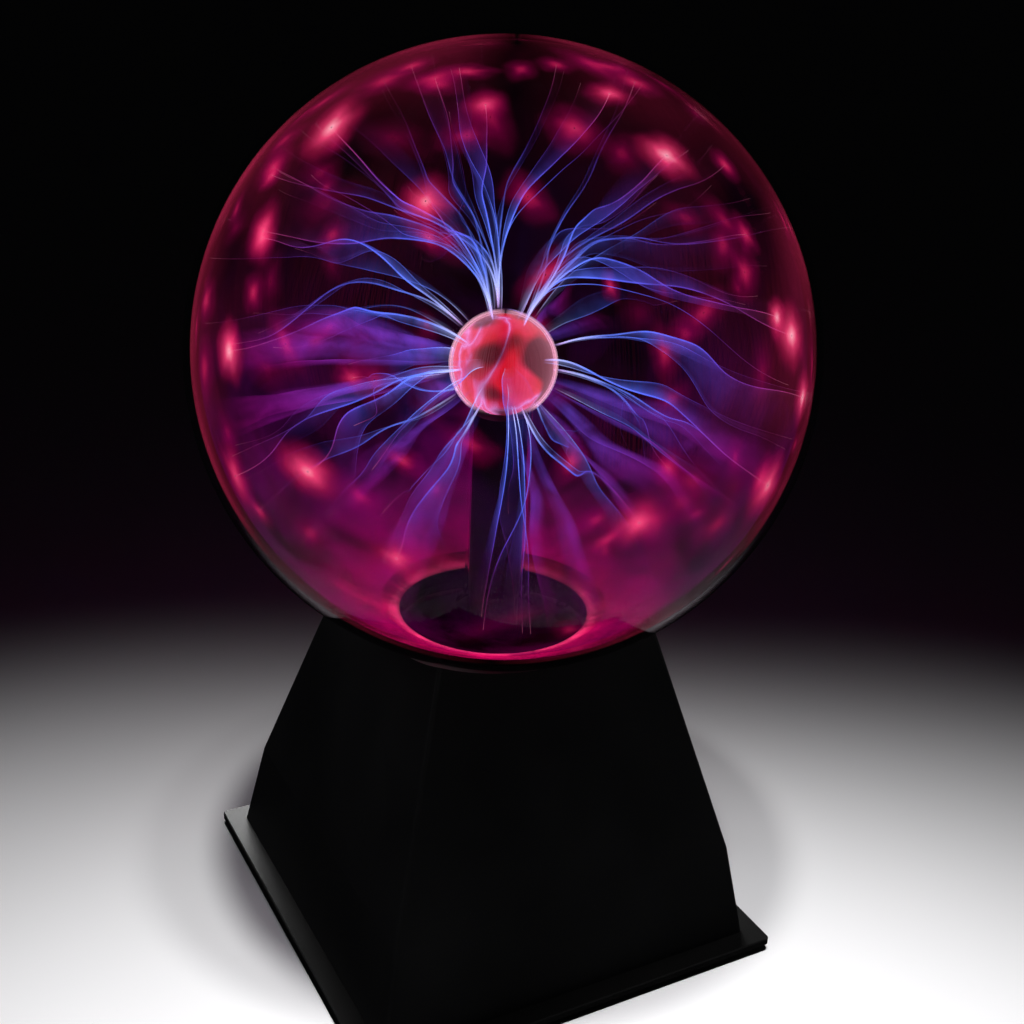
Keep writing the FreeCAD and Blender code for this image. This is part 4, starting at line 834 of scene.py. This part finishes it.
clouds = Shape()
for number in range(CLOUD_COUNT):
    rise = picks.uniform(-0.95, 0.97)
    way = direction(picks.uniform(-180, 180), math.degrees(math.asin(rise)))
    patch(clouds, way, picks.uniform(5.0, 11.0) * MM, picks.uniform(0.10, 0.55), number + CLOUD_SEED,
          picks.uniform(1.0, 2.2), (0.5 + number * 0.01) * MM)
clouds.build("glow_patches", spots)


def haze_skin():
    """A thin skin of glow a little inside the glass, open at the neck."""
    shape = Shape()
    rows = []
    steps, around, lowest, highest = 60, 120, -66.0, 89.5
    radius = skin_radius - 2.5 * MM
    for r in range(steps + 1):
        elevation = lowest + (highest - lowest) * r / steps
        ways = (direction(360.0 * c / around, elevation) for c in range(around))
        rows.append([tuple(centre + way * radius) for way in ways])
    shape.strip(rows, closed=True)
    return shape.build("haze_skin", haze_glow())


haze_skin()


def fins(name, material, middle, radius, height, count, power, lowest, patchy):
    """Upright fins standing on a ball. They are seen side-on only near its edge, so the edge is brightest."""
    shape = Shape()
    steps, parts = 56, (0.0, 0.3, 1.0)
    for number in range(count):
        azimuth = 360.0 * (number + picks.uniform(-0.25, 0.25)) / count
        rows, paints = [], []
        for r in range(steps + 1):
            elevation = lowest + (89.0 - lowest) * r / steps
            way = direction(azimuth, elevation)
            level = power * math.cos(math.radians(elevation)) * max(0.0, 1 + patchy * noise.noise(way * 2.6))
            rows.append([tuple(middle + way * (radius + height * out)) for out in parts])
            paints.append([(out, 0.5, level) for out in parts])
        shape.strip(rows, paints)
    return shape.build(name, material)


fins("electrode_sheath", fin_glow("sheath_glow", [(0.0, (1.0, 0.30, 0.46)), (1.0, (1.0, 0.66, 0.78))], 3.6),
     bulb_centre, wool_radius + 0.05 * MM, bulb_radius - wool_radius + 0.15 * MM,
     count=260, power=0.024, lowest=-52.0, patchy=0.0)
fins("rim_glow", fin_glow("rim_crimson", [(0.0, (1.0, 0.06, 0.16)), (1.0, (0.6, 0.005, 0.10))], 1.0),
     centre, inner_radius - 0.2 * MM, -1.4 * MM,
     count=700, power=0.011, lowest=-69.0, patchy=3.6)


def gathered_glow(azimuth):
    """How strong the neck's glow is: it has gathered on one side and thins out on the other."""
    way = direction(azimuth, 0.0)
    near = max(0.0, 0.5 + 0.5 * way.dot(direction(GLOW_SIDE, 0.0)))
    return (0.08 + 0.92 * near ** 1.5) * (0.75 + 0.35 * noise.noise(way * 1.7))


def neck_ring():
    """Glow gathered where the globe turns down into its neck: a sharp inner line fading outwards."""
    tree = Tree("neck_glow")
    outward, _, power = arc_values(tree)
    streaks = tree.ramp(tree.noise(60.0, 3.0, 0.6, 0.5), [(0.34, 0.25), (0.66, 1.0)])
    amount = tree.ramp(outward, [
        (0.0, 0.4), (0.04, 1.0), (0.12, 0.55), (0.28, 0.38), (0.6, 0.16), (1.0, 0.0),
    ])
    colour = tree.ramp(outward, [
        (0.0, (1.0, 0.06, 0.20)), (0.12, (0.8, 0.004, 0.12)), (1.0, (0.45, 0.0, 0.14)),
    ])
    amount = tree.maths("MULTIPLY", tree.maths("MULTIPLY", amount, streaks), power)
    shape = Shape()
    rows, paints = [], []
    steps, around, lowest, highest = 16, 180, -70.3, -46.0
    radius = skin_radius - 1.2 * MM
    for r in range(steps + 1):
        t = (r / steps) ** 1.6
        ways = (direction(360.0 * c / around, lowest + (highest - lowest) * t) for c in range(around))
        rows.append([tuple(centre + way * radius) for way in ways])
        paints.append([(t, c / around, gathered_glow(360.0 * c / around)) for c in range(around)])
    shape.strip(rows, paints, closed=True)
    return shape.build("neck_ring_glow", glowing(tree, amount, colour, 7.0))


neck_ring()


# ---------------------------------------------------------------- carried-over CAD nodes

for name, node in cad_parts.items():
    for index, old in enumerate(node.data.materials):
        if old.name in FINISHES:
            node.data.materials[index] = FINISHES[old.name]
        elif old.name == "stem_glass":
            node.data.materials[index] = stem_glass

# ---------------------------------------------------------------- floor, lights and camera

FLOOR_REACH = 9.0


def floor():
    """A plain pale floor with a barely uneven surface."""
    tree = Tree("pale_floor")
    tone = tree.ramp(tree.noise(3.0, 4.0, 0.6), [(0.3, (0.80, 0.80, 0.81)), (0.7, (0.84, 0.84, 0.85))])
    inputs = {
        "Base Color": tone,
        "Roughness": 0.7,
        "Specular IOR Level": 0.2,
        "Normal": tree.bump(tree.noise(600.0, 2.0), 0.02 * MM),
    }
    material = tree.done(tree.add("ShaderNodeBsdfPrincipled", inputs).outputs[0])
    mesh = bpy.data.meshes.new("floor")
    corners = [(x * FLOOR_REACH, y * FLOOR_REACH, 0) for x, y in ((-1, -1), (1, -1), (1, 1), (-1, 1))]
    mesh.from_pydata(corners, [], [(0, 1, 2, 3)])
    made = bpy.data.objects.new("floor", mesh)
    bpy.context.scene.collection.objects.link(made)
    made.data.materials.append(material)
    return made


ground = floor()
ground.visible_glossy = False

CAMERA_YAW = -28.93
CAMERA_PITCH = 23.67
CAMERA_ROLL = 2.65
CAMERA_DISTANCE = 478.27 * MM
CAMERA_LENS = 49.41
TARGET_HEIGHT = 156.18 * MM
TARGET_SIDE = 5.01 * MM

yaw, pitch, roll = (math.radians(v) for v in (CAMERA_YAW, CAMERA_PITCH, CAMERA_ROLL))
back = Vector((math.sin(yaw) * math.cos(pitch), -math.cos(yaw) * math.cos(pitch), math.sin(pitch)))
right = (-back).cross(UP).normalized()
top = right.cross(-back)
target = UP * TARGET_HEIGHT + right * TARGET_SIDE
level_right = right * math.cos(roll) + top * math.sin(roll)
level_top = top * math.cos(roll) - right * math.sin(roll)

camera_data = bpy.data.cameras.new("camera")
camera_data.lens = CAMERA_LENS
camera_data.sensor_width = 36.0
camera_data.clip_start = 0.01
camera_data.clip_end = 60.0
camera = bpy.data.objects.new("camera", camera_data)
camera.matrix_world = Matrix.Translation(target + back * CAMERA_DISTANCE) @ Matrix(
    (level_right, level_top, back)).transposed().to_4x4()
bpy.context.scene.collection.objects.link(camera)
bpy.context.scene.camera = camera


def light(name, kind, place, aim, energy, colour=(1, 1, 1), receivers=None, **settings):
    """A light at place, facing aim. It isn't seen itself; receivers limits what it lights."""
    data = bpy.data.lights.new(name, kind)
    data.energy = energy
    data.color = colour
    for key, value in settings.items():
        setattr(data, key, value)
    made = bpy.data.objects.new(name, data)
    made.location = place
    made.rotation_euler = (Vector(aim) - Vector(place)).to_track_quat("-Z", "Y").to_euler()
    bpy.context.scene.collection.objects.link(made)
    made.visible_camera = False
    made.visible_transmission = False
    if receivers:
        made.light_linking.receiver_collection = receivers
    return made


def collected(name, objects):
    """A collection that a light's receivers can name."""
    group = bpy.data.collections.new(name)
    for member in objects:
        group.objects.link(member)
    return group


# Nodes that the soft lights leave dark: the globe and what stands inside it or its neck.
UNDER_GLASS = ("globe_envelope", "stem_sleeve", "neck_cap", "neck_sealant", "electrode_rod", "exhaust_tube")
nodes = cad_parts.items()
glow_lit = collected("glow_lit", [ground] + [node for name, node in nodes if name != "globe_envelope"])
housing = collected("housing", [node for name, node in nodes if name not in UNDER_GLASS])
floor_only = collected("floor_only", [ground])

POOL_HEIGHT = 1.7
POOL_REACH = 0.46
POOL_FORWARD = 0.26
forward = Vector((back.x, back.y, 0)).normalized()
for name, shift, energy in (("pool_left", -0.06, 102.0), ("pool_right", 0.16, 100.0)):
    pool = forward * POOL_FORWARD + right * shift
    light(name, "SPOT", pool + UP * POOL_HEIGHT, pool, energy, receivers=floor_only,
          spot_size=2 * math.atan(POOL_REACH / POOL_HEIGHT), spot_blend=1.0, shadow_soft_size=0.06)

# Soft studio light on the base and its parts: (name, place, aim, energy, width, height).
for name, place, aim, energy, wide, tall in (
    ("soft_left", (-1.1, 0.5, 0.9), (0, 0, 0.08), 6.0, 0.9, 0.9),
    ("soft_right", (1.2, -0.2, 0.8), (0, 0, 0.08), 6.0, 0.9, 0.9),
    ("soft_back", (0.3, 1.3, 0.7), (0, 0, 0.06), 6.0, 1.0, 0.8),
    ("soft_rear_low", (0.10, 0.50, 0.14), (0, 0.06, 0.02), 4.0, 0.3, 0.2),
    ("soft_front", (-0.5, -1.3, 1.0), (0, 0, 0.06), 1.6, 1.0, 0.8),
):
    light(name, "AREA", place, aim, energy, receivers=housing, shape="RECTANGLE", size=wide, size_y=tall)

# The plasma's own light on the parts under it and on the floor: (name, place, energy, colour).
for name, place, energy, colour in (
    ("glow_core", bulb_centre + UP * 30 * MM, 0.04, (0.35, 0.35, 1.0)),
    ("glow_left", centre + Vector((-55, -30, -30)) * MM, 0.03, (0.9, 0.06, 0.3)),
    ("glow_right", centre + Vector((45, 40, -30)) * MM, 0.03, (0.9, 0.06, 0.3)),
    ("glow_low", Vector((-20, -38, 128)) * MM, 0.012, (1.0, 0.05, 0.2)),
):
    made = light(name, "POINT", place, place + UP, energy, colour, glow_lit, shadow_soft_size=0.008)
    made.visible_glossy = False

world = bpy.data.worlds.new("dim_room")
world.use_nodes = True
room = world.node_tree.nodes["Background"]
room.inputs["Color"].default_value = (0.5, 0.5, 0.55, 1)
room.inputs["Strength"].default_value = 0.002
scene = bpy.context.scene
scene.world = world
scene.view_settings.view_transform = "Standard"
scene.cycles.max_bounces = 24
scene.cycles.transmission_bounces = 20
scene.cycles.glossy_bounces = 6
scene.cycles.diffuse_bounces = 3
scene.cycles.transparent_max_bounces = 160  # one line of sight passes many thin sheets and fins
scene.cycles.caustics_reflective = False
scene.cycles.caustics_refractive = False
scene.cycles.sample_clamp_indirect = 3.0
scene.cycles.use_denoising = True
